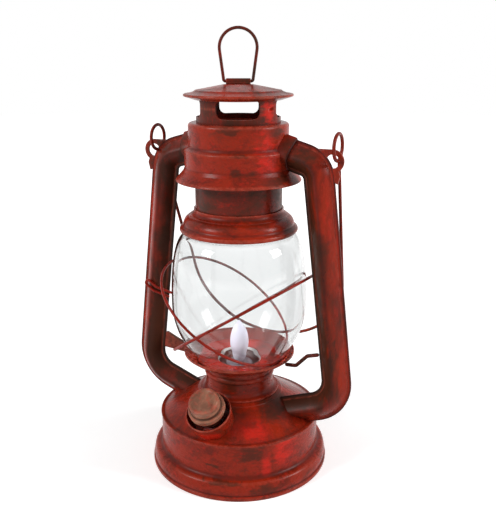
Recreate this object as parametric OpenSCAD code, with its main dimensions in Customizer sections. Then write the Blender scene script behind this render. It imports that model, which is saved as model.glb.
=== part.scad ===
// Barn-style lantern lit by a flame-shaped LED: steel tank, glass globe, hood, side tubes and wire bail.
// Millimetres, +Z up, origin on the table at the foot's middle; the knob is at -Y, the bail hangs at +Y.

/* [Foot and tank] */
// Outer radius of the foot
foot_r = 50; // [47:0.5:56]
// Height of the rolled band at the foot's edge
foot_band_h = 2.2; // [1.6:0.1:3]
// How far the skirt stands in from the rolled band
foot_band_step = 0.6; // [0.3:0.1:1]
// Width of the lip that is turned in under the foot
foot_lip_w = 4; // [3:0.5:5]
// Height of the skirt's shoulder above the table
shoulder_h = 9.6; // [8.5:0.1:12]
// Radius of the skirt's rounded shoulder
shoulder_r = 2.2; // [1.2:0.1:2.8]
// Outer radius of the tank's upright wall
tank_r = 44.5; // [43:0.5:46]
// Height of the seam between the tank's wall and its top
tank_h = 29.7; // [28:0.1:33]
// How far the top's edge stands out past the wall
seam_lip = 0.4; // [0.2:0.1:0.8]
// Slope of the tank's conical top, in degrees
top_slope = 31.5; // [29:0.5:33]
// Radius of the hole in the middle of the tank's top
top_hole_r = 14; // [10:0.5:16]
// Thickness of the steel sheet
sheet = 0.8; // [0.6:0.1:1]

/* [Neck and tray] */
// Radius of the neck's foot on the tank
neck_foot_r = 22.2; // [21.5:0.1:24]
// Radius of the neck's waist
neck_r = 18.9; // [18:0.1:19.4]
// Height of the neck above the tank's top
neck_h = 13.8; // [12.5:0.1:15]
// Height of the bead round the neck above its foot
neck_bead_h = 10.6; // [8:0.1:11.4]
// How far that bead stands out
neck_bead = 0.7; // [0.4:0.1:1]
// Radius of the collar at the bottom of the tray
tray_collar_r = 19.7; // [19.6:0.1:20.6]
// Height of that collar
tray_collar_h = 1.6; // [1.3:0.1:2.4]
// Outer radius of the tray's rim
tray_r = 30.8; // [30:0.1:32]
// Height of the tray's rim above its collar's lower edge
tray_h = 9.4; // [8.6:0.1:10.4]
// Radius of the hole in the burner plate
plate_hole_r = 12; // [10.5:0.5:13]
// Depth of the burner plate below the tray's rim
plate_drop = 5; // [4:0.1:6]

/* [Globe] */
// Outer radius of the globe at its widest
globe_r = 36.9; // [36:0.1:38]
// Radius of the globe's bottom edge
globe_foot_r = 22.6; // [22:0.1:22.9]
// Height of the globe
globe_h = 74; // [73:0.1:74.4]
// Radius of the globe's top opening, outside
globe_top_r = 28.3; // [27.5:0.1:28.6]
// Thickness of the glass
glass = 1.6; // [1.2:0.1:2.2]

/* [Bell and hood] */
// How far the bell's lower edge hangs below the globe's top
bell_lap = 1.5; // [1.2:0.1:2.4]
// Outer radius of the bell's bead
bell_r = 31.5; // [30.8:0.1:33]
// Radius of the bell's shoulder above the bead
bell_shoulder_r = 29.6; // [29:0.1:30.4]
// Outer radius of the chimney
chimney_r = 22.9; // [21.5:0.1:24]
// Height of the bell from its lower edge to the chimney
bell_h = 12.6; // [11.5:0.1:14]
// Height of the brim's edge above the bell's lower edge
brim_rise = 27.2; // [24:0.1:29]
// Outer radius of the brim
brim_r = 32.9; // [31.5:0.1:34]
// Rise of the brim from its edge to the hood's wall
brim_h = 6; // [5:0.1:7.5]
// Outer radius of the hood's lower wall
hood_r = 28.1; // [27.5:0.1:29]
// Outer radius of the hood's upper wall
hood_top_r = 26; // [25:0.1:26.8]
// Height of the step between the two walls above the brim's edge
hood_step_h = 17; // [15:0.1:19]
// Height of the hood's flat top above the brim's edge
hood_h = 29.7; // [28:0.1:32]

/* [Vent collar and cap] */
// Outer radius of the vent collar
vent_r = 21.7; // [20.5:0.1:22]
// Height of the vent windows' lower edge above the hood
vent_sill = 2.8; // [2:0.1:4]
// Angle that one vent window takes, in degrees
vent_angle = 60; // [50:1:66]
// Radius of the vent windows' corners
vent_corner_r = 3.4; // [2:0.1:4]
// Height of the cap's edge above the hood
cap_edge_h = 13.5; // [12.5:0.1:15]
// Outer radius of the cap
cap_r = 28; // [27:0.1:30]
// Rise of the cap from its edge to its flat middle
cap_rise = 5.2; // [4:0.1:7]
// Radius of the flat in the middle of the cap
cap_flat_r = 7.4; // [7:0.1:9]
// How far the cap is turned from the lantern's front, in degrees
cap_turn = 25; // [0:1:45]

/* [Finger loop] */
// Wire of the finger loop
loop_wire = 1.6; // [1.2:0.1:2]
// Radius of the loop's round end, to the middle of the wire
loop_r = 9.4; // [8:0.1:11]
// Height of the loop's round end's middle above its hinge
loop_rise = 16.2; // [12:0.1:20]
// Distance between the loop's feet, to the middle of the wire
loop_foot_w = 14.6; // [14.2:0.1:16]
// How deep each foot goes into the strap
loop_pin = 4; // [3:0.1:5]
// Width of the strap on the cap
strap_w = 12.4; // [11.6:0.1:12.6]
// Depth of the strap from front to back
strap_d = 4.6; // [4:0.1:6]
// Height of the loop's hinge above the cap's flat
loop_hinge_h = 1.5; // [1.3:0.1:2]

/* [Side tubes] */
// Half width of a tube's rounded body
tube_a = 6.8; // [6.2:0.1:7.4]
// Half depth of a tube's body, from its seam to its ridge
tube_b = 6.5; // [5.5:0.1:7]
// Width of the seam flange beside the body
seam_w = 1.4; // [1:0.1:1.8]
// Thickness of each half's sheet
tube_sheet = 0.6; // [0.5:0.1:0.9]
// Distance of a tube's upper end from the lantern's axis
tube_seat_x = 30.2; // [29.6:0.1:31]
// Height of the tube's upper end, at its middle, above the brim's edge
tube_top_h = 14.3; // [13:0.1:15.5]
// Fall of the tube's top run, in degrees
tube_fall = 16; // [10:1:20]
// Distance of the tube's upper corner from the axis
tube_corner_x = 43.5; // [42.5:0.1:45]
// Outward lean of the tube's leg, in degrees
tube_splay = 6.9; // [5.5:0.1:8]
// Height of the tube's lower corner above the tank's seam
tube_elbow_h = 14.4; // [12.5:0.1:17]
// Fall of the run from the lower corner to the tank, in degrees
tube_land = 20; // [16:1:24]
// Bend radius of the upper corner
tube_bend_top = 13.8; // [11:0.1:15]
// Bend radius of the lower corner
tube_bend_low = 17; // [14:0.1:19]
// Distance of an ear's hole out from the tube's upper corner
ear_out = 7.7; // [7.3:0.1:9.3]
// Height of an ear's hole above that corner
ear_up = 2.2; // [1.4:0.1:2.8]
// Radius of the ear round its hole
ear_r = 5.8; // [5.4:0.1:6]
// Radius of the ear's hole
ear_hole_r = 3.4; // [3.2:0.1:3.6]

/* [Bail] */
// Wire of the bail
bail_wire = 1.8; // [1.5:0.1:2]
// Radius of the rings at the bail's ends, to the middle of the wire
eye_r = 6.6; // [6.2:0.1:7]
// How far above the middle of an ear's hole the ring goes through it
eye_lift = 0.4; // [0:0.1:0.6]
// Radius of the bail's round bottom
bail_r = 47.6; // [46:0.1:49]
// Distance of that round bottom's middle from the hinge
bail_drop = 80.9; // [76:0.1:90]
// How far the bail leans back where it hangs, in degrees
bail_lean = 19.6; // [19.6:0.1:26]

/* [Guard wires] */
// Wire of the guard hoops, clips and lead hooks
guard_wire = 1.5; // [1.2:0.1:1.6]
// Radius of the inner hoop
hoop_in_r = 41.2; // [41:0.1:41.4]
// Radius of the outer hoop
hoop_out_r = 44.3; // [44.1:0.1:44.6]
// Slope of the inner hoop, in degrees
hoop_in_slope = 35; // [34.5:0.5:35.5]
// Slope of the outer hoop, in degrees
hoop_out_slope = 34; // [33:0.5:34.5]
// Height of the hoops' middles above the tray's rim
hoop_rise = 22.6; // [21.8:0.1:23]
// Distance of the high end of the hoops from the axis
hoop_high_x = 41; // [40.6:0.1:41.2]
// Sideways tilt of the outer hoop, in degrees
hoop_roll = 4.5; // [3:0.5:6]
// Wire of the brace between the tray and the right tube
brace_wire = 2.1; // [1.7:0.1:2.3]

/* [Knob] */
// Distance of the knob's seat in from the tank's wall
knob_in = 11.9; // [11.5:0.1:13.5]
// Radius of the cup round the knob, outside
cup_r = 12.3; // [11.8:0.1:12.6]
// Height of that cup
cup_h = 10; // [8:0.1:11]
// Radius of the knob's top
knob_r = 7.7; // [6.5:0.1:8.4]
// Radius of the knob's flange
knob_flange_r = 9.8; // [9:0.1:10.6]
// Height of the knob's top above the cup's rim
knob_rise = 10; // [8:0.1:12]

/* [Batteries and switch] */
// Diameter of a battery cell
cell_d = 14.5; // [14:0.1:14.6]
// Length of a battery cell
cell_l = 50.5; // [49:0.1:50.8]
// Number of cells side by side
cell_n = 3; // [2:1:3]
// Wall of the battery box
box_wall = 1.5; // [1.2:0.1:1.8]
// Room at each end of the cells for the contacts
contact_room = 3.4; // [3:0.1:3.8]
// Thickness of the base plate
base_t = 3; // [2.8:0.1:3.4]
// Thickness of the battery cover
cover_t = 1.6; // [1.4:0.1:1.7]
// Travel that frees the battery cover
cover_travel = 7; // [5:0.5:8]
// Radius of the rotary switch's body
switch_r = 7.5; // [6.5:0.1:8]
// Length of the rotary switch's body
switch_l = 6.5; // [5:0.1:7]
// Radius of the switch's shaft
shaft_r = 3; // [2.5:0.1:3.2]

/* [Lamp] */
// Radius of the flame at its widest
flame_r = 5.2; // [4.8:0.1:5.5]
// Height of the flame
flame_h = 22.4; // [20:0.1:24]
// Radius of the dark base under the flame
lamp_base_r = 8.2; // [7.5:0.1:9]
// Radius of the LED under the flame
led_r = 1.5; // [1:0.1:1.6]
// Diameter of the leads
lead_d = 1.3; // [1:0.1:1.6]

/* [Clearances] */
// Room between pieces that are only pushed together
push_gap = 0.1; // [0.05:0.05:0.15]
// Room between pieces that move past each other
slide_gap = 0.3; // [0.25:0.05:0.4]
// Radial room of a pin or shaft that turns in its hole
run_gap = 0.06; // [0.04:0.01:0.1]

/* [Hidden] */
$fn = 64;
weld = 0.1;
arc_steps = 8;
section_steps = 6;
globe_steps = 12;
globe_turn = 80;
bead_turn = 40;
paint = [0.62, 0.16, 0.13];
rubbed = [0.32, 0.17, 0.13];
black = [0.09, 0.09, 0.09];
bare_steel = [0.7, 0.7, 0.72];
big = 200;

// Heights and places worked out from the sizes above
function top_at(r) = tank_h + (tank_r - 2 * sheet - r) * tan(top_slope);
seat_z = top_at(neck_foot_r);
tray_z = seat_z + neck_h;
rim_z = tray_z + tray_h;
plate_z = rim_z - plate_drop;
globe_z = plate_z + sheet + push_gap;
bell_z = globe_z + globe_h - bell_lap;
brim_z = bell_z + brim_rise;
hood_step_z = brim_z + hood_step_h;
hood_top_z = brim_z + hood_h;
cap_edge_z = hood_top_z + cap_edge_h;
cap_flat_z = cap_edge_z + cap_rise;
loop_z = cap_flat_z + loop_hinge_h;
tube_top_z = brim_z + tube_top_h;
tube_elbow_z = tank_h + tube_elbow_h;
corner_z = tube_top_z - (tube_corner_x - tube_seat_x) * tan(tube_fall);
elbow_x = tube_corner_x + (corner_z - tube_elbow_z) * tan(tube_splay);
ear_x = tube_corner_x + ear_out;
ear_z = corner_z + ear_up;
bail_z = ear_z + eye_lift + eye_r;
bail_shift = sqrt(pow(ear_hole_r - bail_wire / 2 - run_gap, 2) - pow(eye_lift, 2));
hoop_z = rim_z + hoop_rise;
knob_seat_r = tank_r - knob_in;
knob_seat_z = top_at(knob_seat_r);
base_z = sheet + push_gap;
box_z = base_z + base_t;
cell_z = base_z + cover_t + 2 * slide_gap + cell_d / 2;
box_l = cell_l + 2 * contact_room + 2 * box_wall;
box_w = cell_n * (cell_d + push_gap) + push_gap + 2 * box_wall;
box_top_z = cell_z + cell_d / 2 + push_gap + box_wall;

// Point lists: an arc, the reverse of a list, and a list moved to the left of its direction
function arc(c, r, a0, a1, n = arc_steps) =
    [for (i = [0:n]) let (a = a0 + (a1 - a0) * i / n) c + r * [cos(a), sin(a)]];
function reversed(p) = [for (i = [len(p) - 1:-1:0]) p[i]];
function left_of(a, b) = [a[1] - b[1], b[0] - a[0]] / norm(b - a);
function mitre(a, b) = (a + b) / (1 + a * b);
function side_of(p, i) =
    i == 0 ? left_of(p[0], p[1]) :
    i == len(p) - 1 ? left_of(p[i - 1], p[i]) :
    mitre(left_of(p[i - 1], p[i]), left_of(p[i], p[i + 1]));
function beside(p, t) = [for (i = [0:len(p) - 1]) p[i] + t * side_of(p, i)];

// A sheet of thickness t spun round the axis, with its outer outline given from bottom to top
module spun_sheet(p, t = sheet) {
    rotate_extrude() polygon(concat(p, reversed(beside(p, t))));
}

// A straight round wire between two points
module rod(a, b, d) {
    v = b - a;
    turn = atan2(v[1], v[0]);
    tilt = atan2(norm([v[0], v[1]]), v[2]);
    translate(a) rotate([0, tilt, turn]) cylinder(h = norm(v), d = d);
}
// The straight stretch between two bends, a hair thinner than they are and sunk into their ends
module stretch(a, b, d) {
    along = (b - a) / norm(b - a);
    rod(a - weld * along, b + weld * along, d - weld / 5);
}

// A bend of round wire in the XY plane, from angle a0 to a1 about c
module wire_bend(c, r, a0, a1, d) {
    translate([c[0], c[1], 0]) rotate([0, 0, a0])
        rotate_extrude(angle = a1 - a0) translate([r, 0]) circle(d = d);
}

// A round wire through points, with its corners bent to radius r
function unit(v) = v / norm(v);
function turn_at(p, i) = acos(unit(p[i] - p[i - 1]) * unit(p[i + 1] - p[i]));
function bend_cut(p, i, r) = i == 0 || i == len(p) - 1 ? 0 : r * tan(turn_at(p, i) / 2);
module wire(p, d, r) {
    for (i = [0:len(p) - 2]) {
        along = unit(p[i + 1] - p[i]);
        from = p[i] + along * (i == 0 ? weld : bend_cut(p, i, r));
        to = p[i + 1] - along * (i == len(p) - 2 ? weld : bend_cut(p, i + 1, r));
        stretch(from, to, d);
    }
    for (i = [1:len(p) - 2]) {
        along = unit(p[i] - p[i - 1]);
        next = unit(p[i + 1] - p[i]);
        inward = unit(next - (next * along) * along);
        middle = p[i] - bend_cut(p, i, r) * along + r * inward;
        up = cross(along, inward);
        multmatrix([
            [-inward[0], along[0], up[0], middle[0]], [-inward[1], along[1], up[1], middle[1]],
            [-inward[2], along[2], up[2], middle[2]], [0, 0, 0, 1]
        ]) rotate_extrude(angle = turn_at(p, i)) translate([r, 0]) circle(d = d);
    }
}

// A screw with a pan head, its tip at the origin and its head up
module pan_screw(length, d, head_d, head_h) {
    cylinder(h = length, d = d);
    translate([0, 0, length]) difference() {
        cylinder(h = head_h, d = head_d);
        for (a = [0, 90]) rotate([0, 0, a]) translate([-head_d / 3, -d / 8, head_h / 2])
            cube([head_d / 1.5, d / 4, head_h]);
    }
}

module on_cap() { rotate([0, 0, cap_turn]) children(); }
module on_knob_axis() {
    translate([0, -knob_seat_r, knob_seat_z]) rotate([top_slope, 0, 0]) children();
}

// Tank: the wall with its foot, and the conical top
skirt_top_r = tank_r + foot_band_step + shoulder_r + 1;
skirt_r = foot_r - foot_band_step;
skirt_z = foot_band_h + foot_band_step / 2;
function skirt_at(z) = skirt_r - (skirt_r - skirt_top_r) * (z - skirt_z) / (shoulder_h - shoulder_r - skirt_z);
module tank_wall() {
    lip_r = foot_r - foot_lip_w;
    outline = concat(
        [[lip_r, 0], [foot_r, 0], [foot_r, foot_band_h], [skirt_r, skirt_z]],
        arc([skirt_top_r - shoulder_r, shoulder_h - shoulder_r], shoulder_r, 15, 85),
        [[tank_r, shoulder_h + sheet], [tank_r, tank_h - sheet]]
    );
    color(paint) spun_sheet(outline);
}

module tank_top() {
    outline = [
        [tank_r + seam_lip, tank_h], [tank_r - 2 * sheet, tank_h],
        [neck_foot_r, seat_z], [top_hole_r, seat_z]
    ];
    color(paint) difference() {
        spun_sheet(outline);
        on_knob_axis() translate([0, 0, -big / 2]) cylinder(h = big, r = bush_r + push_gap);
    }
}

// Neck and tray
neck_z = seat_z + push_gap;
module neck() {
    flare = (neck_foot_r - neck_r) / 2;
    outline = concat(
        [[neck_foot_r, neck_z], [neck_foot_r, neck_z + sheet]],
        arc([neck_foot_r, neck_z + sheet + 2 * flare], 2 * flare, 240, 180),
        arc([neck_r - 2 * sheet, neck_z + neck_bead_h], 2 * sheet + neck_bead, -bead_turn, bead_turn),
        [[neck_r, tray_z - push_gap]]
    );
    color(paint) spun_sheet(outline);
}

// Underside of the tray: from the collar out to a short upright lip, steeper towards the lip
bowl_z = tray_z + tray_collar_h;
tray_lip = 1.2;
tray_bow = 0.4;
bowl_h = rim_z - tray_lip - bowl_z;
bowl_w = tray_r - tray_collar_r;
function bowl_under(s) = bowl_z + bowl_h * s * (1 - tray_bow * (1 - s));
function bowl_out(z) = let (free = 1 - tray_bow)
    tray_collar_r + bowl_w * (sqrt(free * free + 4 * tray_bow * (z - bowl_z) / bowl_h) - free) / (2 * tray_bow);
module tray_bowl() {
    outline = concat(
        [[top_hole_r, tray_z], [tray_collar_r, tray_z], [tray_collar_r, bowl_z]],
        [for (i = [1:arc_steps]) let (s = i / arc_steps) [tray_collar_r + bowl_w * s, bowl_under(s)]],
        [[tray_r, rim_z]]
    );
    color(paint) spun_sheet(outline);
}

// Burner plate, down to where its edge meets the bowl's inner face
bowl_rise = sheet * sqrt(1 + pow(bowl_h / bowl_w, 2));
plate_r = bowl_out(plate_z - bowl_rise) - push_gap;
module burner_plate() {
    color(paint) translate([0, 0, plate_z]) difference() {
        cylinder(h = sheet, r = plate_r);
        translate([0, 0, -sheet]) cylinder(h = 3 * sheet, r = plate_hole_r);
    }
}

// Lamp: a pale cup under the burner plate, a dark base, the LED and the flame over it
holder_depth = 2.4;
holder_wall = 0.9;
holder_rim_w = 2.2;
lamp_base_h = 2;
cup_floor_z = plate_z - holder_depth;
flame_z = cup_floor_z + lamp_base_h;
lead_pitch = 2 * (lead_d / 2 + 2 * push_gap);
module lamp_holder() {
    out_r = plate_hole_r - push_gap;
    low_z = cup_floor_z - holder_wall;
    color("whitesmoke") difference() {
        union() {
            translate([0, 0, low_z]) cylinder(h = plate_z + sheet - low_z, r = out_r);
            translate([0, 0, plate_z - push_gap - holder_wall])
                cylinder(h = holder_wall, r = plate_hole_r + holder_rim_w);
        }
        translate([0, 0, cup_floor_z]) cylinder(h = big, r = out_r - holder_wall);
        for (s = [-1, 1]) translate([s * lead_pitch / 2, 0, 0]) cylinder(h = big, r = lead_d / 2 + push_gap);
    }
}

module lamp_base() {
    color([0.3, 0.3, 0.33]) translate([0, 0, cup_floor_z + push_gap / 2]) difference() {
        cylinder(h = lamp_base_h, r1 = lamp_base_r, r2 = flame_r);
        translate([0, 0, -lamp_base_h]) cylinder(h = big, r = led_r + 2 * push_gap);
    }
}

module led() {
    stem = lamp_base_h - push_gap - led_r;
    color("ivory") translate([0, 0, cup_floor_z + push_gap / 2])
        rotate_extrude() polygon(concat([[0, 0], [led_r, 0]], arc([0, stem], led_r, 0, 90)));
}

// Outline of the flame: radius at height share s, tucked in at its foot, widest at a share of its height
flame_wide = 0.4;
flame_tuck = 0.5;
function flame_at(s) = flame_r * (s > flame_wide
    ? 1 - pow((s - flame_wide) / (1 - flame_wide), 2.3)
    : 1 - flame_tuck * pow((flame_wide - s) / flame_wide, 1.9));
flame_wall = 0.8;
flame_steps = 20;
module flame() {
    outside = [for (i = [0:flame_steps]) let (s = i / flame_steps) [flame_at(s), flame_h * s]];
    hollow = [for (i = [0:flame_steps / 2]) let (s = i / flame_steps)
        [max(flame_at(s) - flame_wall, flame_wall / 4), flame_h * s]];
    color("lavender") translate([0, 0, flame_z + push_gap]) rotate_extrude() difference() {
        polygon(concat([[0, 0]], outside));
        polygon(concat([[0, -1], [hollow[0][0], -1]], hollow, [[0, flame_h / 2]]));
    }
}

// Globe: an egg, widest below its middle, drawn in to a foot and to a short upright lip at the top
globe_wide_h = 33.5;
globe_lip_h = 2.6;
globe_lip_w = 0.4;
module globe() {
    wide_z = globe_z + globe_wide_h;
    lip_z = globe_z + globe_h - globe_lip_h;
    lip_r = globe_top_r + globe_lip_w;
    outline = concat(
        [for (i = [0:globe_steps]) let (s = i / globe_steps)
            [globe_r - (globe_r - globe_foot_r) * pow(1 - s, 2.3), globe_z + globe_wide_h * s]],
        [for (i = [1:globe_steps]) let (a = globe_turn * i / globe_steps)
            [lip_r + (globe_r - lip_r) * cos(a), wide_z + (lip_z - wide_z) * pow(sin(a), 0.83)]],
        [[globe_top_r, lip_z + globe_lip_w], [globe_top_r, globe_z + globe_h]]
    );
    color([0.85, 0.92, 0.95, 0.35]) spun_sheet(outline, glass);
}

// Bell over the globe, and the chimney above it
module bell() {
    bead_r = 1.5;
    curl_r = bell_shoulder_r - chimney_r - bead_r;
    shoulder_z = bell_z + 2 * bead_r + sheet;
    outline = concat(
        [[globe_top_r + 2 * push_gap, bell_z], [bell_r - bead_r, bell_z]],
        arc([bell_r - bead_r, bell_z + bead_r], bead_r, -60, 75),
        arc([bell_shoulder_r - curl_r, shoulder_z], curl_r, 5, 75),
        arc([chimney_r + sheet + push_gap + 2 * bead_r, shoulder_z + curl_r + 2 * bead_r], 2 * bead_r, 250, 180),
        [[chimney_r + sheet + push_gap, bell_z + bell_h]]
    );
    color(paint) spun_sheet(outline);
}

module chimney() {
    color(rubbed) spun_sheet([[chimney_r, bell_z + bell_h / 2], [chimney_r, hood_floor_z + 2 * sheet]]);
}

// Hood: brim, lower wall, step, upper wall and flat top, with a pad on each side for the tube
hood_outline = concat(
    [[brim_r, brim_z], [brim_r, brim_z + sheet], [hood_r + sheet, brim_z + brim_h - sheet],
     [hood_r, brim_z + brim_h + sheet], [hood_r, hood_step_z - (hood_r - hood_top_r)]],
    arc([hood_top_r, hood_step_z - (hood_r - hood_top_r)], hood_r - hood_top_r, 20, 70, 3),
    [[hood_top_r, hood_step_z + sheet]],
    arc([hood_top_r - 2 * sheet, hood_top_z - 2 * sheet], 2 * sheet, 0, 90, 5),
    [[vent_r - sheet, hood_top_z]]
);
hood_floor_z = brim_z + brim_h + sheet;
module hood() {
    pad_in = hood_r - 5 * sheet;
    color(paint) difference() {
        union() {
            spun_sheet(hood_outline);
            translate([0, 0, hood_floor_z]) cylinder(h = sheet, r = hood_r - sheet / 2);
            for (side = [0, 180]) rotate([0, 0, side]) tube_frame() translate([tube_seat_x, tube_top_z, 0])
                rotate([0, 0, -tube_fall]) translate([-push_gap, 0, 0]) rotate([90, 0, 270])
                linear_extrude(tube_seat_x - pad_in) tube_section(1, 0.8);
        }
        translate([0, 0, hood_floor_z + sheet])
            cylinder(h = hood_top_z - hood_floor_z - 2 * sheet, r = hood_top_r - sheet);
        translate([0, 0, brim_z]) cylinder(h = hood_top_z - brim_z - 2 * sheet, r = chimney_r + push_gap);
    }
}

// Vent collar with four windows, standing in the hood's top
cap_sheet = 0.6 * sheet;
cap_ring_z = cap_edge_z + 2.6;
cap_under_z = cap_ring_z - cap_sheet - 3 * push_gap;
vent_top_z = cap_edge_z - 2.5 * cap_sheet;
function rounded_window(w, h, r) = concat(
    arc([-w, r], r, 180, 270), arc([w, r], r, 270, 360), arc([w, h - r], r, 0, 90), arc([-w, h - r], r, 90, 180)
);
module vent_collar() {
    half_w = vent_r * sin(vent_angle / 2);
    sill_z = hood_top_z + vent_sill;
    color(rubbed) on_cap() difference() {
        spun_sheet([[vent_r - sheet - push_gap, hood_top_z - 2], [vent_r - sheet - push_gap, hood_top_z],
            [vent_r, hood_top_z + push_gap], [vent_r, cap_under_z]]);
        for (a = [0:90:270]) rotate([0, 0, a]) translate([0, 0, sill_z]) rotate([90, 0, 0]) linear_extrude(big)
            polygon(rounded_window(half_w - vent_corner_r, vent_top_z - sill_z, vent_corner_r));
    }
}

// Cap: a shallow cone with a pressed ring, a flared edge and a turned-in rim
module cap() {
    tip = 0.7;
    ring_r = 0.76 * cap_r;
    outline = concat(
        [[vent_r + push_gap + sheet, cap_edge_z - 2.2], [cap_r - 3, cap_edge_z - 1.4]],
        arc([cap_r - tip, cap_edge_z], tip, -60, 100, 6),
        [[ring_r + 2, cap_ring_z - 1.2], [ring_r + 0.8, cap_ring_z - 0.2], [ring_r - 0.6, cap_ring_z],
         [cap_flat_r, cap_flat_z], [0.01, cap_flat_z]]
    );
    color(paint) spun_sheet(outline, cap_sheet);
}

// Strap on the cap with a hole along it for the feet of the finger loop
module loop_strap() {
    crown = loop_wire / 2 + sheet;
    bore_r = loop_wire / 2 + run_gap;
    color(rubbed) on_cap() translate([0, 0, cap_flat_z]) difference() {
        union() {
            translate([-strap_w / 2, -strap_d / 2, push_gap]) cube([strap_w, strap_d, sheet]);
            translate([-strap_w / 2, -crown, push_gap]) cube([strap_w, 2 * crown, loop_hinge_h - push_gap]);
            translate([-strap_w / 2, 0, loop_hinge_h]) rotate([0, 90, 0])
                cylinder(h = strap_w, r = min(crown, loop_hinge_h - push_gap));
        }
        translate([-strap_w, 0, loop_hinge_h]) rotate([0, 90, 0]) cylinder(h = 2 * strap_w, r = bore_r);
    }
}

loop_bend_r = 0.5 * loop_wire + 0.2;
module finger_loop() {
    bend = [0, loop_rise];
    foot = [loop_foot_w / 2, 0];
    pin = strap_w / 2 - loop_pin;
    turn = acos(loop_r / norm(foot - bend)) + atan2(foot[1] - bend[1], foot[0]);
    leg_end = bend + loop_r * [cos(turn), sin(turn)];
    leg_top = leg_end + 2 * weld * unit(leg_end - foot);
    color(rubbed) on_cap() translate([0, 0, loop_z]) rotate([90, 0, 0]) {
        wire_bend(bend, loop_r, turn, 180 - turn, loop_wire);
        for (s = [-1, 1]) wire([[s * leg_top[0], leg_top[1], 0], [s * foot[0], 0, 0], [s * pin, 0, 0]],
            loop_wire, loop_bend_r);
    }
}

// Half of a side tube's section: a lens with a soft ridge, and a flange on each side along the seam
function lens_at(u, a, b) = b * (1 - pow(abs(u) / a, 1.7));
function lens(a, b, floor_v) = let (edge = a * pow(1 - floor_v / b, 1 / 1.7))
    [for (i = [-section_steps:section_steps]) let (u = edge * sin(90 * i / section_steps))
        [u, lens_at(u, a, b)]];
module half_section(grow = 0) {
    flange = tube_a + seam_w + grow;
    skin = tube_sheet + grow;
    outside = lens(tube_a + grow, tube_b + grow, skin);
    inside = lens(tube_a - 1.5 * tube_sheet - grow, tube_b - 1.2 * tube_sheet - grow, 0);
    polygon(concat([[-flange, 0], [-flange, skin]], outside, [[flange, skin], [flange, 0]], reversed(inside)));
}
// The whole section, thickened by more all round
module tube_section(more, more_b) {
    outside = lens(tube_a + seam_w + more, tube_b + more + more_b, 0);
    polygon(outside);
    mirror([0, 1]) polygon(outside);
}

// The tubes lie in the XZ plane: x across, y up, and the front half towards +z of this frame
module tube_frame() { rotate([90, 0, 0]) children(); }
module straight_run(from, heading, length) {
    translate([from[0], from[1], 0]) rotate([0, 0, heading]) rotate([90, 0, 90])
        linear_extrude(length) half_section();
}
// A bend is a hair thicker than the straight runs, which are sunk into its ends
module bent_run(from, heading, turn, r) {
    c = from - r * [-sin(heading), cos(heading)];
    translate([c[0], c[1], 0]) rotate([0, 0, heading - turn + 90])
        rotate_extrude(angle = turn) translate([r, 0]) half_section(weld / 10);
}
function ahead(from, heading, length) = from + length * [cos(heading), sin(heading)];

head_top = -tube_fall;
head_leg = -90 + tube_splay;
turn_top = head_top - head_leg;
module half_tube() {
    seat = [tube_seat_x, tube_top_z];
    corner = [tube_corner_x, corner_z];
    elbow = [elbow_x, tube_elbow_z];
    sink = weld / 2;
    low_turn = 90 + tube_splay - tube_land;
    land_heading = head_leg - low_turn;
    cut_top = tube_bend_top * tan(turn_top / 2);
    cut_low = tube_bend_low * tan(low_turn / 2);
    bend_1 = ahead(corner, head_top, -cut_top);
    leg_1 = ahead(corner, head_leg, cut_top);
    bend_2 = ahead(elbow, head_leg, -cut_low);
    land_1 = ahead(elbow, land_heading, cut_low);
    difference() {
        union() {
            straight_run(seat, head_top, norm(bend_1 - seat) + sink);
            bent_run(bend_1, head_top, turn_top, tube_bend_top);
            straight_run(ahead(leg_1, head_leg, -sink), head_leg, norm(bend_2 - leg_1) + 2 * sink);
            bent_run(bend_2, head_leg, low_turn, tube_bend_low);
            straight_run(ahead(land_1, land_heading, -sink), land_heading, elbow_x);
            ear(corner);
        }
        translate([ear_x, ear_z, -big / 2]) cylinder(h = big, r = ear_hole_r);
        rotate([-90, 0, 0]) rotate_extrude() tank_cut();
    }
}
// Flat ear on the seam flange, outside the upper corner
module ear(corner) {
    linear_extrude(tube_sheet) difference() {
        union() {
            translate([ear_x, ear_z]) circle(r = ear_r);
            polygon([corner, [tube_corner_x, ear_z + ear_r], [ear_x, ear_z + ear_r], [ear_x + ear_r, ear_z],
                [ear_x + ear_r / 2, ear_z - 2 * ear_r]]);
        }
        translate(corner) circle(r = tube_a);
    }
}
// What the tank takes away from a tube's lower end
module tank_cut() {
    lift = push_gap / cos(top_slope);
    polygon([[0, -1], [tank_r + 2, -1], [tank_r + 2, tank_h + push_gap], [tank_r - 2 * sheet, tank_h + lift],
        [0, top_at(0) + lift]]);
}
module tube_half(side, face) {
    color(rubbed) mirror([side < 0 ? 1 : 0, 0, 0]) mirror([0, face < 0 ? 0 : 1, 0]) tube_frame() half_tube();
}
module left_tube_front() { tube_half(-1, -1); }
module left_tube_back() { tube_half(-1, 1); }
module right_tube_front() { tube_half(1, -1); }
module right_tube_back() { tube_half(1, 1); }

// Guard hoops, each high at one side tube and low at the tray on the other side
module hoop(r, slope, side, roll) {
    middle_x = hoop_high_x - r * cos(slope);
    color(rubbed) translate([side * middle_x, 0, hoop_z]) rotate([0, -side * slope, 0]) rotate([roll, 0, 0])
        rotate_extrude() translate([r, 0]) circle(d = guard_wire);
}
module inner_hoop() { hoop(hoop_in_r, hoop_in_slope, -1, 0); }
module outer_hoop() { hoop(hoop_out_r, hoop_out_slope, 1, -hoop_roll); }

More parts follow.
